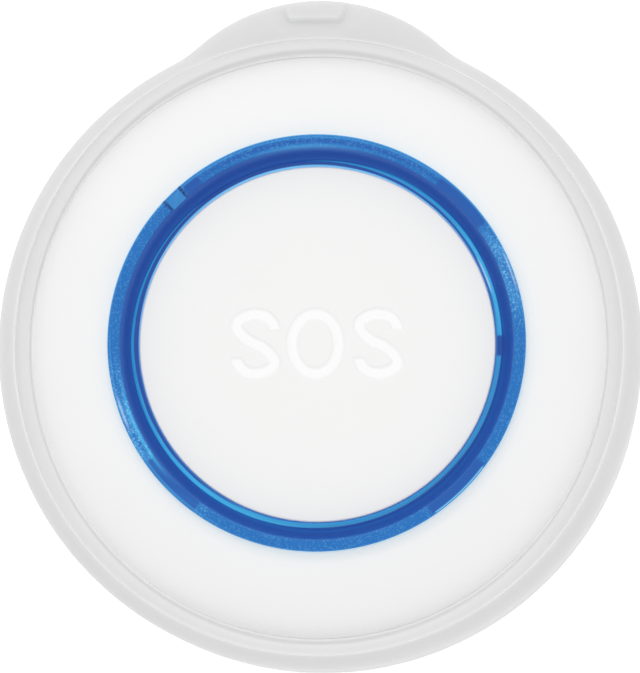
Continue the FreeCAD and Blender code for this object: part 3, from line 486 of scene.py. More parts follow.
def sleeve_section(angle, s):
    """Radius and height of each place along the sleeve's closed section, at each angle: feather
    edge, lip band, crest step, front, side, back, back lip, inner wall, and up under the lip;
    with the share of painted light on the lip, highest at its thin edge, low on its band and a
    little higher on the crest, which lightens their shade and makes them glow."""
    turn = np.linspace(0.0, math.pi / 2.0, 6)[None, :]
    whole = np.linspace(0.0, 1.0, 60)[None, :]
    opening = ellipse_radius(angle, s.opening_x, s.opening_y)
    crest = ellipse_radius(angle, s.opening_x + s.band, s.opening_y + s.band - STEP)
    wall = outline_radius(angle, s)
    spring_z = s.band_z + s.crest_rise - s.front_roll

    def front(r):
        return front_height(r * np.cos(angle), r * np.sin(angle), s)

    def back(r):
        return back_height(r * np.cos(angle), r * np.sin(angle), s)

    front_r = crest + STEP + (wall - crest - STEP) * np.sin(whole * math.pi / 2.0)
    back_in = 1.0 - np.cos(whole[:, ::3] * math.pi / 2.0)
    back_r = wall - (wall - s.body_r + s.back_roll) * back_in
    # the underside follows the cover's roll just over it, and its edge presses on the cover
    way_in = np.linspace(0.0, 1.0, 12)[None, :]
    roll_low = s.cover_z - s.cover_drop
    roll_high = s.cover_z + 0.03 * MM
    edge_r = opening - s.feather
    under_r = s.side_r + (edge_r - s.side_r) * way_in ** 2
    lean = np.clip((under_r - s.side_r) / s.cover_roll + 1.0, 0.0, 1.0)
    under_z = roll_low + (roll_high - roll_low) * np.sqrt(1.0 - lean ** 2) - STEP * way_in ** 8
    # the bevel between the back lip and the inner wall
    heel_r = s.side_r - 0.8 * MM
    heel_z = s.back_lip_t + 0.85 * MM
    thick = s.band_z - under_z[:, -1:]
    width = 0.5 * s.feather_w + 0.5 * thick
    crest_z = front(crest + STEP)
    foot_turn, crest_turn = turn[:, ::2], turn[:, 1:5]
    runs = [
        (edge_r + width * turn / turn[0, -1], s.band_z - thick * (1.0 - np.sin(turn))),
        (between(crest, edge_r + width, 0.7, 0.4, 0.15), s.band_z),
        (crest - STEP * (1.0 - np.sin(foot_turn)), s.band_z + STEP * (1.0 - np.cos(foot_turn))),
        (crest + STEP * (1.0 - np.cos(crest_turn)), crest_z - STEP * (1.0 - np.sin(crest_turn))),
        (front_r, front(front_r)),
        (wall, between(spring_z, s.back_roll, 0.15, 0.5, 0.85)),
        (back_r, back(back_r)),
        (between(s.back_lip_r, s.body_r - s.back_roll, 0.7, 0.3, 0.08), 0.0),
        (s.back_lip_r, between(0.0, s.back_lip_t, 0.1, 0.5, 0.95)),
        (between(s.back_lip_r, heel_r, 0.05, 0.9), s.back_lip_t),
        (s.side_r, between(heel_z, roll_low, 0.0, 0.3, 0.6, 0.9)),
        (under_r, under_z),
    ]
    places = [np.broadcast_arrays(*run, angle)[:2] for run in runs]
    r, z = (np.concatenate(side, axis=1) for side in zip(*places))
    # painted light: a share that lightens the lip's thin edge, its band and the crest over their
    # shade
    on_edge = np.clip(1.0 - (r - edge_r) / (0.4 * width), 0.0, 1.0)
    on_crest = np.exp(-((r - crest) / (2.0 * STEP)) ** 2)
    thin = on_edge * (z > s.band_z - thick - STEP)
    thin += 0.2 * ((r < crest) + on_crest) * (z > s.band_z - STEP)
    return r, z, thin


def sleeve_mesh(s):
    """The sleeve as one surface of two parameters: the angle round the axis, with close steps
    over the lug, and the place along the closed section at that angle."""
    lug_from, lug_to = math.radians(60.0), math.radians(120.0)
    over_lug = np.linspace(lug_from, lug_to, 300, endpoint=False)
    round_rest = np.linspace(lug_to, lug_from + 2.0 * math.pi, 300, endpoint=False)
    angle = np.concatenate([over_lug, round_rest])[:, None]
    r, z, thin = sleeve_section(angle, s)
    points = np.stack([r * np.cos(angle), r * np.sin(angle), z], axis=-1)
    mesh = make_mesh("sleeve_skin", [(points, [grid_quads(*r.shape)])])
    # the share of painted light, as the mesh's own attribute
    return marked(mesh, "thin", thin)


def cover_mesh(s):
    """Domed cover: r = start + width sin(a), z = foot + drop cos(a) outside, a like curve inside,
    joined by the side, the foot and the bore, with four tubular posts."""
    width = s.outer_r - s.roll_r
    foot = s.top_z - s.drop
    a = np.linspace(math.asin((s.bore_r + s.edge - s.roll_r) / width), math.pi / 2.0, 48)
    inner_r = s.outer_r - s.wall
    inner_top = s.top_z - s.face_t
    inner_w = inner_r - s.roll_r
    b = np.linspace(math.pi / 2.0, math.asin((s.bore_r - s.roll_r) / inner_w), 24)
    side_z = between(s.foot_z, foot, 0.75, 0.4, 0.08)[0]
    turn = np.linspace(0.0, math.pi / 2.0, 6)[:-1]
    section = np.concatenate([
        section_of(s.bore_r + s.edge * (1.0 - np.cos(turn)),
                   s.top_z - s.edge * (1.0 - np.sin(turn))),
        section_of(s.roll_r + width * np.sin(a), foot + s.drop * np.cos(a)),
        section_of(s.outer_r, side_z),
        section_of(s.outer_r - s.wall * np.array([0.05, 0.5, 0.95]), s.foot_z),
        section_of(inner_r, side_z[::-1]),
        section_of(s.roll_r + inner_w * np.sin(b), foot + (inner_top - foot) * np.cos(b)),
        section_of(s.bore_r, [inner_top + STEP, s.top_z - 2.0 * s.edge])])
    shells = [turned_shell(section, stations=480)]
    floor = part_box("circuit_board")[1].z
    tip_r = 0.15 * s.post_bore
    post = rounded_section([
        (s.post_bore, floor), (s.post_bore, s.post_hole), (tip_r, s.post_hole),
        (tip_r, s.post_top), (s.post_r, s.post_top), (s.post_r, floor)], 0.04 * MM, 4)
    shells += [moved(turned_shell(post, stations=48), (s.post_circle, 0.0, 0.0), angle)
               for angle in even_turns(4, math.radians(45.0))]
    return make_mesh("front_cover_skin", shells)


def dense(section, step, from_z, to_r):
    """Closed section with more places on its long runs: no further apart than a step, above a
    height and inside a radius."""
    after = np.roll(section, -1, axis=0)
    parts = np.ceil(np.linalg.norm(after - section, axis=1) / step).astype(int)
    least_r, least_z = np.minimum(section, after).T
    parts = np.where((least_z > from_z) & (least_r < to_r), np.maximum(parts, 1), 1)
    return np.concatenate([a + (b - a) * np.arange(n)[:, None] / n
                           for a, b, n in zip(section, after, parts)])


def soft_step(value, edge, width):
    """0 below an edge, 1 above it, eased over a width: t t (3 - 2t)."""
    t = np.clip((value - edge) / width + 0.5, 0.0, 1.0)
    return t * t * (3.0 - 2.0 * t)


def around(degrees, middle, half, width):
    """1 within half an arc of its middle, eased to 0 over a width, all in degrees."""
    away = np.abs((degrees - middle + 180.0) % 360.0 - 180.0)
    return 1.0 - soft_step(away, half, width)


def ring_tint(points, s, c):
    """Colour of each place of the ring, by its angle and its distance from the axis, with its
    painted glow as a fourth value, and the share of bright moulding grain and painted sparkle. The
    colour holds painted light: the lit ledge, the rim beside the cap, highlights along the edges
    and three white glints. The deep slope lies between the lit ledge and the frosted band. The
    ledge's painted light stops at the gate on the right and fades at the upper left. Lengths are
    in millimetres, and an arc is its middle, half width and ease in degrees. Each layer is mixed
    in over the ones before it: tint + (shade - tint) share."""
    r = np.hypot(points[..., 0], points[..., 1]) / MM
    degrees = np.degrees(np.arctan2(points[..., 1], points[..., 0]))
    bore_r, outer_r = s.bore_r / MM, s.outer_r / MM
    ledge_r = bore_r + s.ledge / MM
    band_r = outer_r - s.band / MM
    unlit, deep, upper, middle, bright, edge, pale = (np.array(shade) for shade in (
        c.ring_low, c.ring_dark, c.ring_high, c.ring_mid, c.ring_bright, c.ring_edge, c.ring_pale))

    def arcs(*each):
        """The highest of some arcs."""
        return np.max([around(degrees, *arc) for arc in each], axis=0)

    def beyond(radius, ease):
        """0 inside a radius, 1 outside it."""
        return soft_step(r, radius, ease)

    def line(radius, width, *where):
        """A thin soft line round the axis, over some arcs."""
        return np.exp(-((r - radius) / width) ** 2) * arcs(*where)

    # painted light: the rim beside the cap, over the shade of the gap, wider towards the upper left
    rim = 1.0 - beyond(bore_r + 0.10 + 0.13 * arcs((112, 40, 70)), 0.08)
    # painted light on the ledge, from the lights under it: where it starts and how wide it is, by
    # angle
    at = (0, 3, 45, 67, 87, 135, 180, 225, 250, 270, 315, 360)
    lit_from = bore_r + np.interp(degrees % 360.0, at, (
        0.10, 0.11, 0.28, 0.37, 0.49, 0.46, 0.46, 0.24, 0.10, 0.05, 0.05, 0.08))
    lit_width = np.interp(degrees % 360.0, at, (
        0.35, 0.35, 0.28, 0.19, 0.04, 0.05, 0.18, 0.31, 0.38, 0.33, 0.27, 0.33))
    lit = beyond(lit_from, 0.05) * (1.0 - beyond(lit_from + lit_width, 0.05))
    lit = lit * (1.0 - arcs((359.5, 3.2, 0.8))) * (1.0 - arcs((111, 20, 8)))
    # the ledge's painted light is stronger at the lower left and on the right
    brighter = 0.65 + 0.35 * arcs((240, 25, 40), (20, 18, 20))
    frosted = beyond(band_r - 0.02, 0.05)
    # painted sparkle on the frosted band where the glints fall
    painted_sparkle = arcs((20, 12, 12), (212, 22, 20))
    waves = 0.6 + 0.4 * np.sin(np.radians(degrees * 23.0) + r / 0.2)
    smooth = frosted * arcs((44, 9, 1), (128, 2.6, 1), (224.5, 9.5, 1), (314, 10, 1))
    glint = (0.9 * line(outer_r - 0.26, 0.035, (200, 4, 5))
             + 0.35 * line(outer_r - 0.2, 0.05, (20, 5, 5))
             + 0.5 * line(bore_r + 0.24, 0.05, (22.5, 5, 5)))
    layers = (
        # the slope and the foot of the ledge's corner
        (deep, beyond(ledge_r + 0.24, 0.5)),
        (upper, beyond(band_r - 0.25, 0.4)),
        (edge, 0.5 * line(ledge_r + 0.08, 0.07, (62, 8, 14))),
        # painted light: the rim beside the cap, lifted over the gap's shade, and the ledge's light
        (edge, 0.5 * rim),
        (pale, rim * arcs((110, 70, 40))),
        (middle + (bright - middle) * brighter[..., None], lit),
        # the frosted band, its painted sparkle where the glints fall, and its streaks
        (middle, frosted),
        (edge, 0.5 * frosted * painted_sparkle * waves),
        (deep, 0.6 * line(outer_r - 0.52, 0.13, (92, 40, 30))),
        (edge, 0.8 * line(band_r + 0.02, 0.16, (93, 12, 26))),
        # the smooth patches beside the light pipes, and painted highlights along the outer edge,
        # strongest at the top
        (deep, 0.62 * smooth * (1.0 - beyond(outer_r - 0.16, 0.06))),
        (edge, beyond(outer_r - 0.10, 0.06) * (0.3 + 0.7 * arcs((95, 75, 30)))),
        (edge, 0.8 * line(outer_r - 0.22, 0.04, (95, 42, 20), (210, 30, 20))),
        # the key's two sides
        (0.5 * deep, frosted * arcs((131.4, 0.35, 0.5), (137.2, 0.35, 0.5))),
        # painted highlights: thin bright lines and three white glints
        (bright, 0.8 * line(band_r + 0.15, 0.10, (206, 12, 12))),
        (pale, line(outer_r - 0.13, 0.05, (314, 9, 1))),
        (1.0, glint),
        # the outer wall, kept pale so that it throws little blue on the cover
        (0.45 + 0.55 * pale, beyond(outer_r - 0.01, 0.01)))
    tint = np.broadcast_to(unlit, points.shape)
    for shade, share in layers:
        tint = tint + (shade - tint) * share[..., None]
    # painted glow: even over the ring, and more on the lit ledge, the rim and the glints
    glow = RING_GLOW + LEDGE_GLOW * lit + RIM_GLOW * rim + GLINT_GLOW * glint
    # bright moulding grain on the frosted band, and more of it as painted sparkle where the glints
    # fall
    specks_and_sparkle = frosted * (1.0 - smooth) * (0.3 + 0.7 * painted_sparkle)
    return np.concatenate([tint, glow[..., None]], axis=-1), specks_and_sparkle


def ring_mesh(s, c):
    """Light ring: a rounded closed section turned round the axis, with four legs and the key. The
    band's height changes by 4 rise w (1 - w) - 0.3 fall w, where w is the way out across it."""
    stations = 900
    band_r = s.outer_r - s.band
    ledge_r = s.bore_r + s.ledge
    ledge_z = s.top_z - s.fall
    section = rounded_section([
        (s.bore_r, s.under_z), (s.bore_r, ledge_z), (ledge_r, ledge_z),
        (band_r, s.top_z - s.band_fall), (s.outer_r, s.top_z), (s.outer_r, s.flange_top),
        (s.flange_r, s.flange_top), (s.flange_r, s.under_z)],
        [STEP, s.edge / 2.0, s.edge, s.edge, s.edge, 0.04 * MM, s.edge, STEP])
    section = dense(section, step=0.08 * MM, from_z=ledge_z - 0.2 * MM,
                    to_r=s.outer_r - 0.02 * MM)
    way = np.clip((section[:, 0] - band_r) / s.band, 0.0, 1.0)
    on_top = section[:, 1] > s.top_z - s.band_fall - 0.02 * MM
    section[:, 1] += on_top * (4.0 * s.band_rise * way * (1.0 - way) - 0.3 * s.band_fall * way)
    points = turned(section, stations)
    tint, specks_and_sparkle = ring_tint(points, s, c)
    shells = [(points, [grid_quads(stations, len(section))])]
    leg_r = (s.bore_r + s.outer_r) / 2.0
    leg_h = s.under_z + 0.3 * MM - s.foot_z
    leg = rounded_block((s.leg_t, s.leg_w, leg_h), 0.12 * MM)
    shells += [moved(leg, (leg_r, 0.0, s.foot_z + leg_h / 2.0), angle)
               for angle in even_turns(4, math.radians(45.0))]
    key_h = 0.5 * MM
    key_r = s.outer_r - s.band / 2.0 - 0.15 * MM
    key = rounded_block((s.band, s.key_w, key_h), 0.08 * MM)
    shells.append(moved(key, (key_r, 0.0, s.top_z + s.key_rise - key_h / 2.0), s.key_angle))
    mesh = make_mesh("light_ring_skin", shells)
    # legs and key: a plain blue, with the ring's even painted glow
    plain = 0.45 * np.array(c.ring_mid) + 0.55 * np.array(c.ring_edge)
    each = np.empty((len(mesh.vertices), 4), dtype=np.float32)
    each[:] = (*plain, RING_GLOW)
    each[:specks_and_sparkle.size] = tint.reshape(-1, 4)
    mesh.attributes.new("tint", "FLOAT_COLOR", "POINT").data.foreach_set("color", each.ravel())
    return marked(mesh, "specks_and_sparkle", specks_and_sparkle)


def curve_distance(x, y, px, py):
    """Distance from each point to a smooth line of places, kept to its nearest straight run."""
    best = np.full(x.shape, 1.0)
    for ax, ay, bx, by in zip(px, py, px[1:], py[1:]):
        ux, uy = bx - ax, by - ay
        t = np.clip(((x - ax) * ux + (y - ay) * uy) / (ux * ux + uy * uy), 0.0, 1.0)
        best = np.minimum(best, np.hypot(x - ax - t * ux, y - ay - t * uy))
    return best


def letter_s(s):
    """Middle line of the S: two half ellipses, one over the other, joined by a spine that leans:
    the upper one from 5 to 270 degrees, the lower one from 90 to -175, then y is lowered by
    0.35 x (1 - (2y/h)(2y/h)) squared."""
    half = (s.letter_h - s.stroke) / 4.0
    upper = np.radians(np.linspace(5.0, 270.0, 24))
    lower = np.radians(np.linspace(90.0, -175.0, 24))[1:]
    x = np.concatenate([s.s_half * np.cos(upper), s.s_half * np.cos(lower)])
    y = np.concatenate([half + half * np.sin(upper), -half + half * np.sin(lower)])
    return x, y - 0.35 * x * (1.0 - (y / (2.0 * half)) ** 2) ** 2


def letter_depth(x, y, s):
    """How far a point lies in a letter's stroke, from 0 outside to 1 on its floor: the distance to
    the stroke's middle line, less half the stroke, eased over the width of the wall."""
    zone_w = 3.0 * MM
    end_x, end_y = 0.6 * MM, 0.5 * MM
    share = np.zeros(x.shape)
    near = np.abs(y - s.text_y) < s.letter_h
    sx, sy = letter_s(s)
    turn = np.linspace(0.0, 2.0 * math.pi, 49)
    ox = s.o_half * np.cos(turn)
    oy = (s.letter_h - s.stroke) / 2.0 * np.sin(turn)
    for middle, px, py in ((s.first_x, sx, sy), (s.middle_x, ox, oy), (s.last_x, sx, sy)):
        zone = near & (np.abs(x - middle) < zone_w)
        side, up = x[zone] - middle, y[zone] - s.text_y
        away = curve_distance(side, up, px, py)
        if px is sx:
            end = (side * up > 0.0) & (np.abs(side) > end_x) & (np.abs(up) > end_y)
            away = np.where(end, np.maximum(away, s.stroke / 2.0 + s.cut_y - np.abs(up)), away)
        share[zone] = np.maximum(share[zone], soft_step(s.stroke / 2.0 - away, 0.0, s.wall_w))
    return share


def cap_mesh(s):
    """Press cap: a shallow crown with its letters sunk in, a rounded edge, the skirt and the boss
    as one turned surface, with ribs and snap hooks."""
    edge_r = s.outer_r - s.edge
    edge_z = s.top_z - s.crown
    radius = (edge_r ** 2 + s.crown ** 2) / (2.0 * s.crown)
    text_r = 7.4 * MM
    fine = np.linspace(STEP, text_r, 100)
    crown_r = np.concatenate([fine, np.linspace(text_r, edge_r, 24)[1:-1]])
    turn = np.linspace(0.0, math.pi / 2.0, 12)
    soft = 0.1 * MM
    under_z = edge_z - s.wall + s.crown
    fillet_z = under_z + 0.01 * MM
    skirt_r = s.outer_r - s.skirt
    section = np.concatenate([
        section_of(crown_r, s.top_z - radius + np.sqrt(radius ** 2 - crown_r ** 2)),
        section_of(edge_r + s.edge * np.sin(turn), edge_z - s.edge * (1.0 - np.cos(turn))),
        [(s.outer_r, s.skirt_z + soft), (s.outer_r - 0.03 * MM, s.skirt_z + 0.03 * MM),
         (s.outer_r - soft, s.skirt_z), (skirt_r + soft, s.skirt_z), (skirt_r, s.skirt_z + soft),
         (skirt_r, under_z), (skirt_r - soft, fillet_z), (s.boss_r + soft, fillet_z),
         (s.boss_r, under_z), (s.boss_r, s.boss_z + soft), (s.boss_r - soft, s.boss_z),
         (soft, s.boss_z)]])
    points = turned(section, stations=600)
    sunk = np.zeros(points.shape[:2])
    top = points[:, :len(fine)]
    sunk[:, :len(fine)] = letter_depth(top[..., 0], top[..., 1], s)
    points[..., 2] -= sunk * s.sunk
    shells = [capped_shell(points, s.top_z, s.boss_z)]
    hook_h = under_z + 0.2 * MM - s.foot_z
    hook = rounded_block((s.hook_t, s.hook_w, hook_h), 0.06 * MM)
    nose = rounded_block((s.hook_r - skirt_r, s.hook_w, s.nose_h), 0.08 * MM)
    rib = rounded_block((4.4 * MM, 0.7 * MM, 0.7 * MM), STEP)
    hook_at = (skirt_r + s.hook_t / 2.0, 0.0, s.foot_z + hook_h / 2.0)
    nose_at = ((skirt_r + s.hook_r) / 2.0, 0.0, s.nose_top - s.nose_h / 2.0)
    rib_at = (10.4 * MM, 0.0, under_z - 0.15 * MM)
    for angle in even_turns(4):
        shells += [moved(hook, hook_at, angle), moved(nose, nose_at, angle)]
    shells += [moved(rib, rib_at, angle) for angle in even_turns(6, math.radians(30.0))]
    return marked(make_mesh("button_cap_skin", shells), "letter", sunk)


def new_finish(name, base, **sockets):
    """A surface with its even values on the shader's own sockets; returns material and nodes."""
    finish = bpy.data.materials.new(name)
    finish.use_nodes = True
    shader = finish.node_tree.nodes["Principled BSDF"]
    shader.inputs["Base Color"].default_value = (*base, 1.0)
    for socket, value in sockets.items():
        shader.inputs[socket.replace("_", " ")].default_value = value
    return finish, finish.node_tree, shader


def feed(tree, node, socket, value):
    """Set a node's input to a value, or link another node's output to it."""
    if isinstance(value, bpy.types.NodeSocket):
        tree.links.new(value, node.inputs[socket])
    else:
        node.inputs[socket].default_value = value


def add_node(tree, kind, inputs=None, **settings):
    """A shader node with its settings, and its inputs by name or number."""
    node = tree.nodes.new("ShaderNode" + kind)
    for name, value in settings.items():
        setattr(node, name, value)
    for socket, value in (inputs or {}).items():
        feed(tree, node, socket, value)
    return node


def worked(tree, operation, *values):
    """Output of a Math node, kept within 0 and 1."""
    node = add_node(tree, "Math", dict(enumerate(values)), operation=operation, use_clamp=True)
    return node.outputs["Value"]


def mixed(tree, under, over, share):
    """A colour mixed in over another one, each plain or an output."""
    return add_node(tree, "Mix", {"A": under, "B": over, "Factor": share},
                    data_type="RGBA").outputs["Result"]


def object_noise(tree, scale, detail=3.0):
    """Soft noise that sits still on the object."""
    place = add_node(tree, "TexCoord").outputs["Object"]
    noise = add_node(tree, "TexNoise", {"Scale": scale, "Detail": detail, "Vector": place})
    return noise.outputs["Fac"]


def add_grain(tree, shader, scale, height):
    """Moulding grain: noise of this scale per metre as a bump of this height in metres."""
    bump = add_node(tree, "Bump", {"Strength": 1.0, "Distance": height,
                                   "Height": object_noise(tree, scale)})
    feed(tree, shader, "Normal", bump.outputs["Normal"])


def add_mottle(tree, shader, base, spread, scale):
    """Slight uneven colour: the base mixed with a darker shade of itself by soft noise."""
    darker = [(1.0 - spread) * part for part in base]
    mottle = mixed(tree, (*base, 1.0), (*darker, 1.0), object_noise(tree, scale))
    feed(tree, shader, "Base Color", mottle)
    return mottle


def plastic(name, base, roughness=0.42, grain=9000.0, height=0.000004, spread=0.02):
    """Moulded plastic with a fine spark-eroded grain."""
    finish, tree, shader = new_finish(name, base, Roughness=roughness)
    add_mottle(tree, shader, base, spread, 140.0)
    add_grain(tree, shader, grain, height)
    return finish


def add_fill(tree, shader, under, name, colour):
    """Mix another colour in over what lies under it, by the piece's own attribute, and give back
    the attribute's output."""
    share = add_node(tree, "Attribute", attribute_name=name).outputs["Fac"]
    feed(tree, shader, "Base Color", mixed(tree, under, (*colour, 1.0), share))
    return share


def milky_rubber(base, thin):
    """Translucent silicone: light spreads under the surface, over a fine matt grain. Painted light:
    where the lip thins out, and on its band and crest, a lighter colour and a weak glow stand in
    for the light that comes through and lift their shade."""
    finish, tree, shader = new_finish("milky_rubber_finish", base, Roughness=0.5,
                                      Subsurface_Scale=0.0008)
    feed(tree, shader, "Subsurface Radius", (1.0, 1.0, 1.0))
    feed(tree, shader, "Emission Color", (*thin, 1.0))
    share = add_fill(tree, shader, add_mottle(tree, shader, base, 0.02, 260.0), "thin", thin)
    # painted glow by the share of painted light, and less light under the surface there
    feed(tree, shader, "Emission Strength", worked(tree, "MULTIPLY_ADD", share, LIP_GLOW, 0.0))
    feed(tree, shader, "Subsurface Weight", worked(tree, "MULTIPLY_ADD", share, -0.7, 0.7))
    add_grain(tree, shader, 5200.0, 0.000008)
    return finish


def cap_plastic(base, letter):
    """White cap: the letters' floors are whiter, by the piece's own letter attribute."""
    finish, tree, shader = new_finish("white_cap_finish", base, Roughness=0.45)
    add_fill(tree, shader, add_mottle(tree, shader, base, 0.015, 140.0), "letter", letter)
    add_grain(tree, shader, 9000.0, 0.000003)
    return finish


def blue_ring(pale):
    """Light ring, drawn as an opaque surface: its colour and its painted glow are the piece's own
    tint, which holds painted light and highlights, with bright moulding grain and painted sparkle
    where soft noise passes a mark."""
    finish, tree, shader = new_finish("blue_ring_finish", pale, Roughness=0.14,
                                      Specular_IOR_Level=0.2)
    tint = add_node(tree, "Attribute", attribute_name="tint")
    share = add_node(tree, "Attribute", attribute_name="specks_and_sparkle")
    spot = add_node(tree, "MapRange", {"Value": object_noise(tree, 7000.0, 1.0),
                                       "From Min": 0.50, "From Max": 0.85})
    amount = worked(tree, "MULTIPLY", spot.outputs["Result"], share.outputs["Fac"])
    look = mixed(tree, tint.outputs["Color"], (*pale, 1.0), amount)
    feed(tree, shader, "Base Color", look)
    feed(tree, shader, "Emission Color", look)
    feed(tree, shader, "Emission Strength", tint.outputs["Alpha"])
    add_grain(tree, shader, 2600.0, 0.000004)
    return finish


class PANIC_OT_sleeve(Operator):
    """Build the soft sleeve with its lip, lug and strap groove"""
    bl_idname = "panic.sleeve"
    bl_label = "Sleeve"

    def execute(self, context):
        scene = context.scene
        finish = milky_rubber(scene.panic_finish.rubber, scene.panic_finish.rubber_painted_light)
        add_piece("sleeve_skin", sleeve_mesh(scene.panic_sleeve), "housing", "milky_rubber", finish,
                  "sleeve")
        return {"FINISHED"}


class PANIC_OT_front_cover(Operator):
    """Build the white domed cover"""
    bl_idname = "panic.front_cover"
    bl_label = "Front cover"

    def execute(self, context):
        scene = context.scene
        finish = plastic("white_shell_finish", scene.panic_finish.shell)
        add_piece("front_cover_skin", cover_mesh(scene.panic_cover), "housing", "white_shell",
                  finish, "front_cover")
        return {"FINISHED"}


class PANIC_OT_light_ring(Operator):
    """Build the clear blue light ring"""
    bl_idname = "panic.light_ring"
    bl_label = "Light ring"

    def execute(self, context):
        scene = context.scene
        finish = blue_ring(scene.panic_finish.ring_pale)
        add_piece("light_ring_skin", ring_mesh(scene.panic_ring, scene.panic_finish), "housing",
                  "blue_ring", finish, "light_ring")
        return {"FINISHED"}


class PANIC_OT_button_cap(Operator):
    """Build the white press cap with its sunk letters"""
    bl_idname = "panic.button_cap"
    bl_label = "Press cap"

    def execute(self, context):
        scene = context.scene
        finish = cap_plastic(scene.panic_finish.cap, scene.panic_finish.letter)
        add_piece("button_cap_skin", cap_mesh(scene.panic_cap), "button", "white_cap", finish,
                  "button_cap")
        return {"FINISHED"}


class PANIC_OT_inner_parts(Operator):
    """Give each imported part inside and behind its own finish"""
    bl_idname = "panic.inner_parts"
    bl_label = "Inner parts and back"

    def execute(self, context):
        colours = context.scene.panic_finish
        finishes = {
            "white": plastic("white_back_finish", colours.shell, 0.45),
            "seal": plastic("seal_finish", colours.seal, 0.6),
            "dome": plastic("dome_finish", colours.dome, 0.5),
            "board": plastic("board_finish", colours.board, 0.35,
                             grain=3000.0, height=0.00001, spread=0.2),
            "black": plastic("black_plastic_finish", colours.black, 0.5,
                             grain=6000.0, height=0.000006, spread=0.1),
            "ceramic": plastic("ceramic_finish", colours.ceramic, 0.4),
            "led": plastic("led_finish", colours.led, 0.3),
            "steel": self.steel("steel_finish", colours.metal, 0.3),
            "can": self.steel("cell_can_finish", colours.metal, 0.22),
        }
        nodes = {
            "rear_shell": "white", "battery_door": "white", "door_seal": "seal",
            "housing_seal": "seal", "return_dome": "dome", "circuit_board": "board",
            "switch_body": "black", "switch_cover": "steel", "switch_plunger": "black",
            "radio_module": "steel", "controller_chip": "black", "chip_antenna": "ceramic",
            "crystal": "steel", "capacitors": "ceramic", "coin_cell": "can",
            "contact_negative": "steel", "contact_positive": "steel", "housing_screws": "steel",
        }
        nodes.update({"led_%d" % number: "led" for number in range(1, 5)})
        for node, kind in nodes.items():
            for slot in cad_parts[node].material_slots:
                slot.material = finishes[kind]
        return {"FINISHED"}

    def steel(self, name, base, roughness):
        """Bright metal with slight rubbing."""
        finish, tree, shader = new_finish(name, base, Metallic=1.0, Roughness=roughness)
        add_mottle(tree, shader, base, 0.08, 900.0)
        add_grain(tree, shader, 12000.0, 0.000002)
        return finish


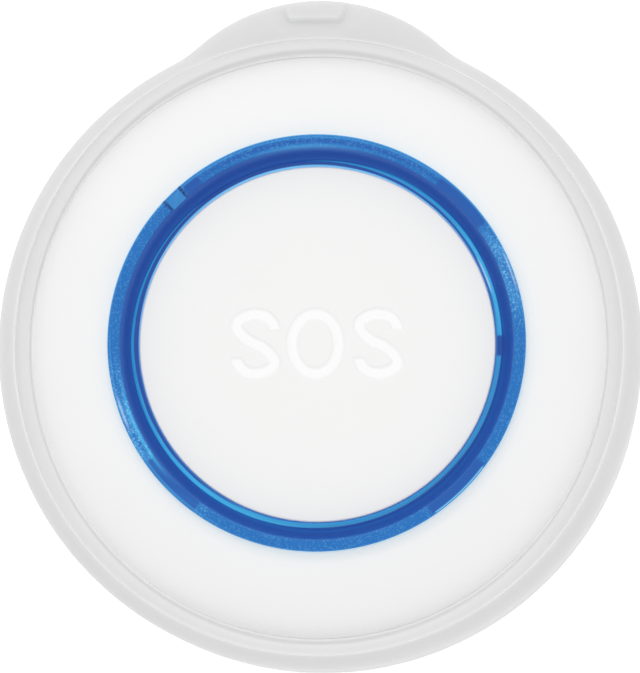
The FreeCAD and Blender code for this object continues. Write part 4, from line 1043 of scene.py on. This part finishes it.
class PANIC_OT_stage(Operator):
    """Set the floor, the even light and the camera at the picture's angle"""
    bl_idname = "panic.stage"
    bl_label = "Stage"

    def execute(self, context):
        scene = context.scene
        s = scene.panic_stage
        self.floor(scene, s)
        self.world(scene, s)
        for name, make in LAMPS.items():
            self.lamp(scene, name, *make)
        self.camera(scene, s)
        scene.view_settings.view_transform = "Standard"
        return {"FINISHED"}

    def floor(self, scene, s):
        """A white floor just under the button."""
        half = s.floor_size / 2.0
        z = low("rear_shell").z - 0.02 * MM
        points = np.array([(-half, -half, z), (half, -half, z), (half, half, z), (-half, half, z)])
        mesh = make_mesh("floor", [(points, [[(0, 1, 2, 3)]])])
        floor = bpy.data.objects.new("floor", mesh)
        scene.collection.objects.link(floor)
        finish, tree, shader = new_finish("floor_finish", (1.0, 1.0, 1.0), Roughness=0.9,
                                          Specular_IOR_Level=0.0)
        feed(tree, shader, "Emission Color", (1.0, 1.0, 1.0, 1.0))
        feed(tree, shader, "Emission Strength", self.seen(tree, 0.0, s.floor_glow))
        mesh.materials.append(finish)

    def world(self, scene, s):
        """Even white light, seen as plain white by the camera, by gloss and by glass."""
        world = bpy.data.worlds.new("studio")
        scene.world = world
        world.use_nodes = True
        tree = world.node_tree
        background = tree.nodes["Background"]
        feed(tree, background, "Color", (1.0, 1.0, 1.0, 1.0))
        feed(tree, background, "Strength", self.seen(tree, s.world, 1.0))

    def seen(self, tree, lighting, shown):
        """One strength for lighting the button, another as camera, gloss and glass see it."""
        ray = add_node(tree, "LightPath").outputs
        share = worked(tree, "MAXIMUM", ray["Is Glossy Ray"], ray["Is Transmission Ray"])
        share = worked(tree, "MAXIMUM", ray["Is Camera Ray"], share)
        strength = add_node(tree, "MapRange", {"Value": share, "To Min": lighting, "To Max": shown})
        return strength.outputs["Result"]

    def lamp(self, scene, name, place, width, height, power):
        """A flat lamp that looks at the button, with its width level."""
        light = bpy.data.lights.new(name, "AREA")
        light.shape = "RECTANGLE"
        light.size = width
        light.size_y = height
        light.energy = power
        lamp = bpy.data.objects.new(name, light)
        scene.collection.objects.link(lamp)
        lamp.location = place
        lamp.rotation_euler = Vector(place).to_track_quat("Z", "Y").to_euler()

    def camera(self, scene, s):
        """The camera looks along -back, keeps +Y up in the picture, and puts the outline's middle
        where the picture has it."""
        flat = math.cos(s.elevation)
        back = Vector((math.sin(s.azimuth) * flat, -math.cos(s.azimuth) * flat,
                       math.sin(s.elevation)))
        right = Vector((0.0, 1.0, 0.0)).cross(back).normalized()
        up = back.cross(right)
        pixel = s.seen_height / PHOTO_HEIGHT
        aim = Vector((0.0, 0.0, s.aim_z))
        aim -= right * (s.centre_x - PHOTO_WIDTH / 2.0) * pixel
        aim += up * (s.centre_y - PHOTO_HEIGHT / 2.0) * pixel
        data = bpy.data.cameras.new("camera")
        data.sensor_fit = "AUTO"
        data.sensor_width = 36.0
        data.lens = data.sensor_width * s.distance / s.seen_height
        data.clip_start = 0.01
        data.clip_end = 20.0
        camera = bpy.data.objects.new("camera", data)
        scene.collection.objects.link(camera)
        turn = Matrix((right, up, back)).transposed()
        camera.matrix_world = Matrix.Translation(aim + back * s.distance) @ turn.to_4x4()
        scene.camera = camera


OPERATORS = (PANIC_OT_sleeve, PANIC_OT_front_cover, PANIC_OT_light_ring, PANIC_OT_button_cap,
             PANIC_OT_inner_parts, PANIC_OT_stage)
SETTINGS = {"panic_sleeve": SleeveSizes, "panic_cover": CoverSizes, "panic_ring": RingSizes,
            "panic_cap": CapSizes, "panic_finish": Finish, "panic_stage": StageSetting}


class PANIC_PT_build(Panel):
    """Lists the steps that dress the button"""
    bl_idname = "PANIC_PT_build"
    bl_label = "Panic button"
    bl_space_type = "VIEW_3D"
    bl_region_type = "UI"
    bl_category = "Panic button"

    def draw(self, context):
        for step in OPERATORS:
            self.layout.operator(step.bl_idname)


def register():
    for kind in SETTINGS.values():
        bpy.utils.register_class(kind)
    for name, kind in SETTINGS.items():
        setattr(bpy.types.Scene, name, PointerProperty(type=kind))
    for step in OPERATORS + (PANIC_PT_build,):
        bpy.utils.register_class(step)


def unregister():
    for step in OPERATORS + (PANIC_PT_build,):
        bpy.utils.unregister_class(step)
    for name in SETTINGS:
        delattr(bpy.types.Scene, name)
    for kind in SETTINGS.values():
        bpy.utils.unregister_class(kind)


def main():
    """Register the add-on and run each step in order."""
    register()
    for step in OPERATORS:
        getattr(bpy.ops.panic, step.bl_idname.split(".")[1])()


if __name__ == "__main__":
    main()
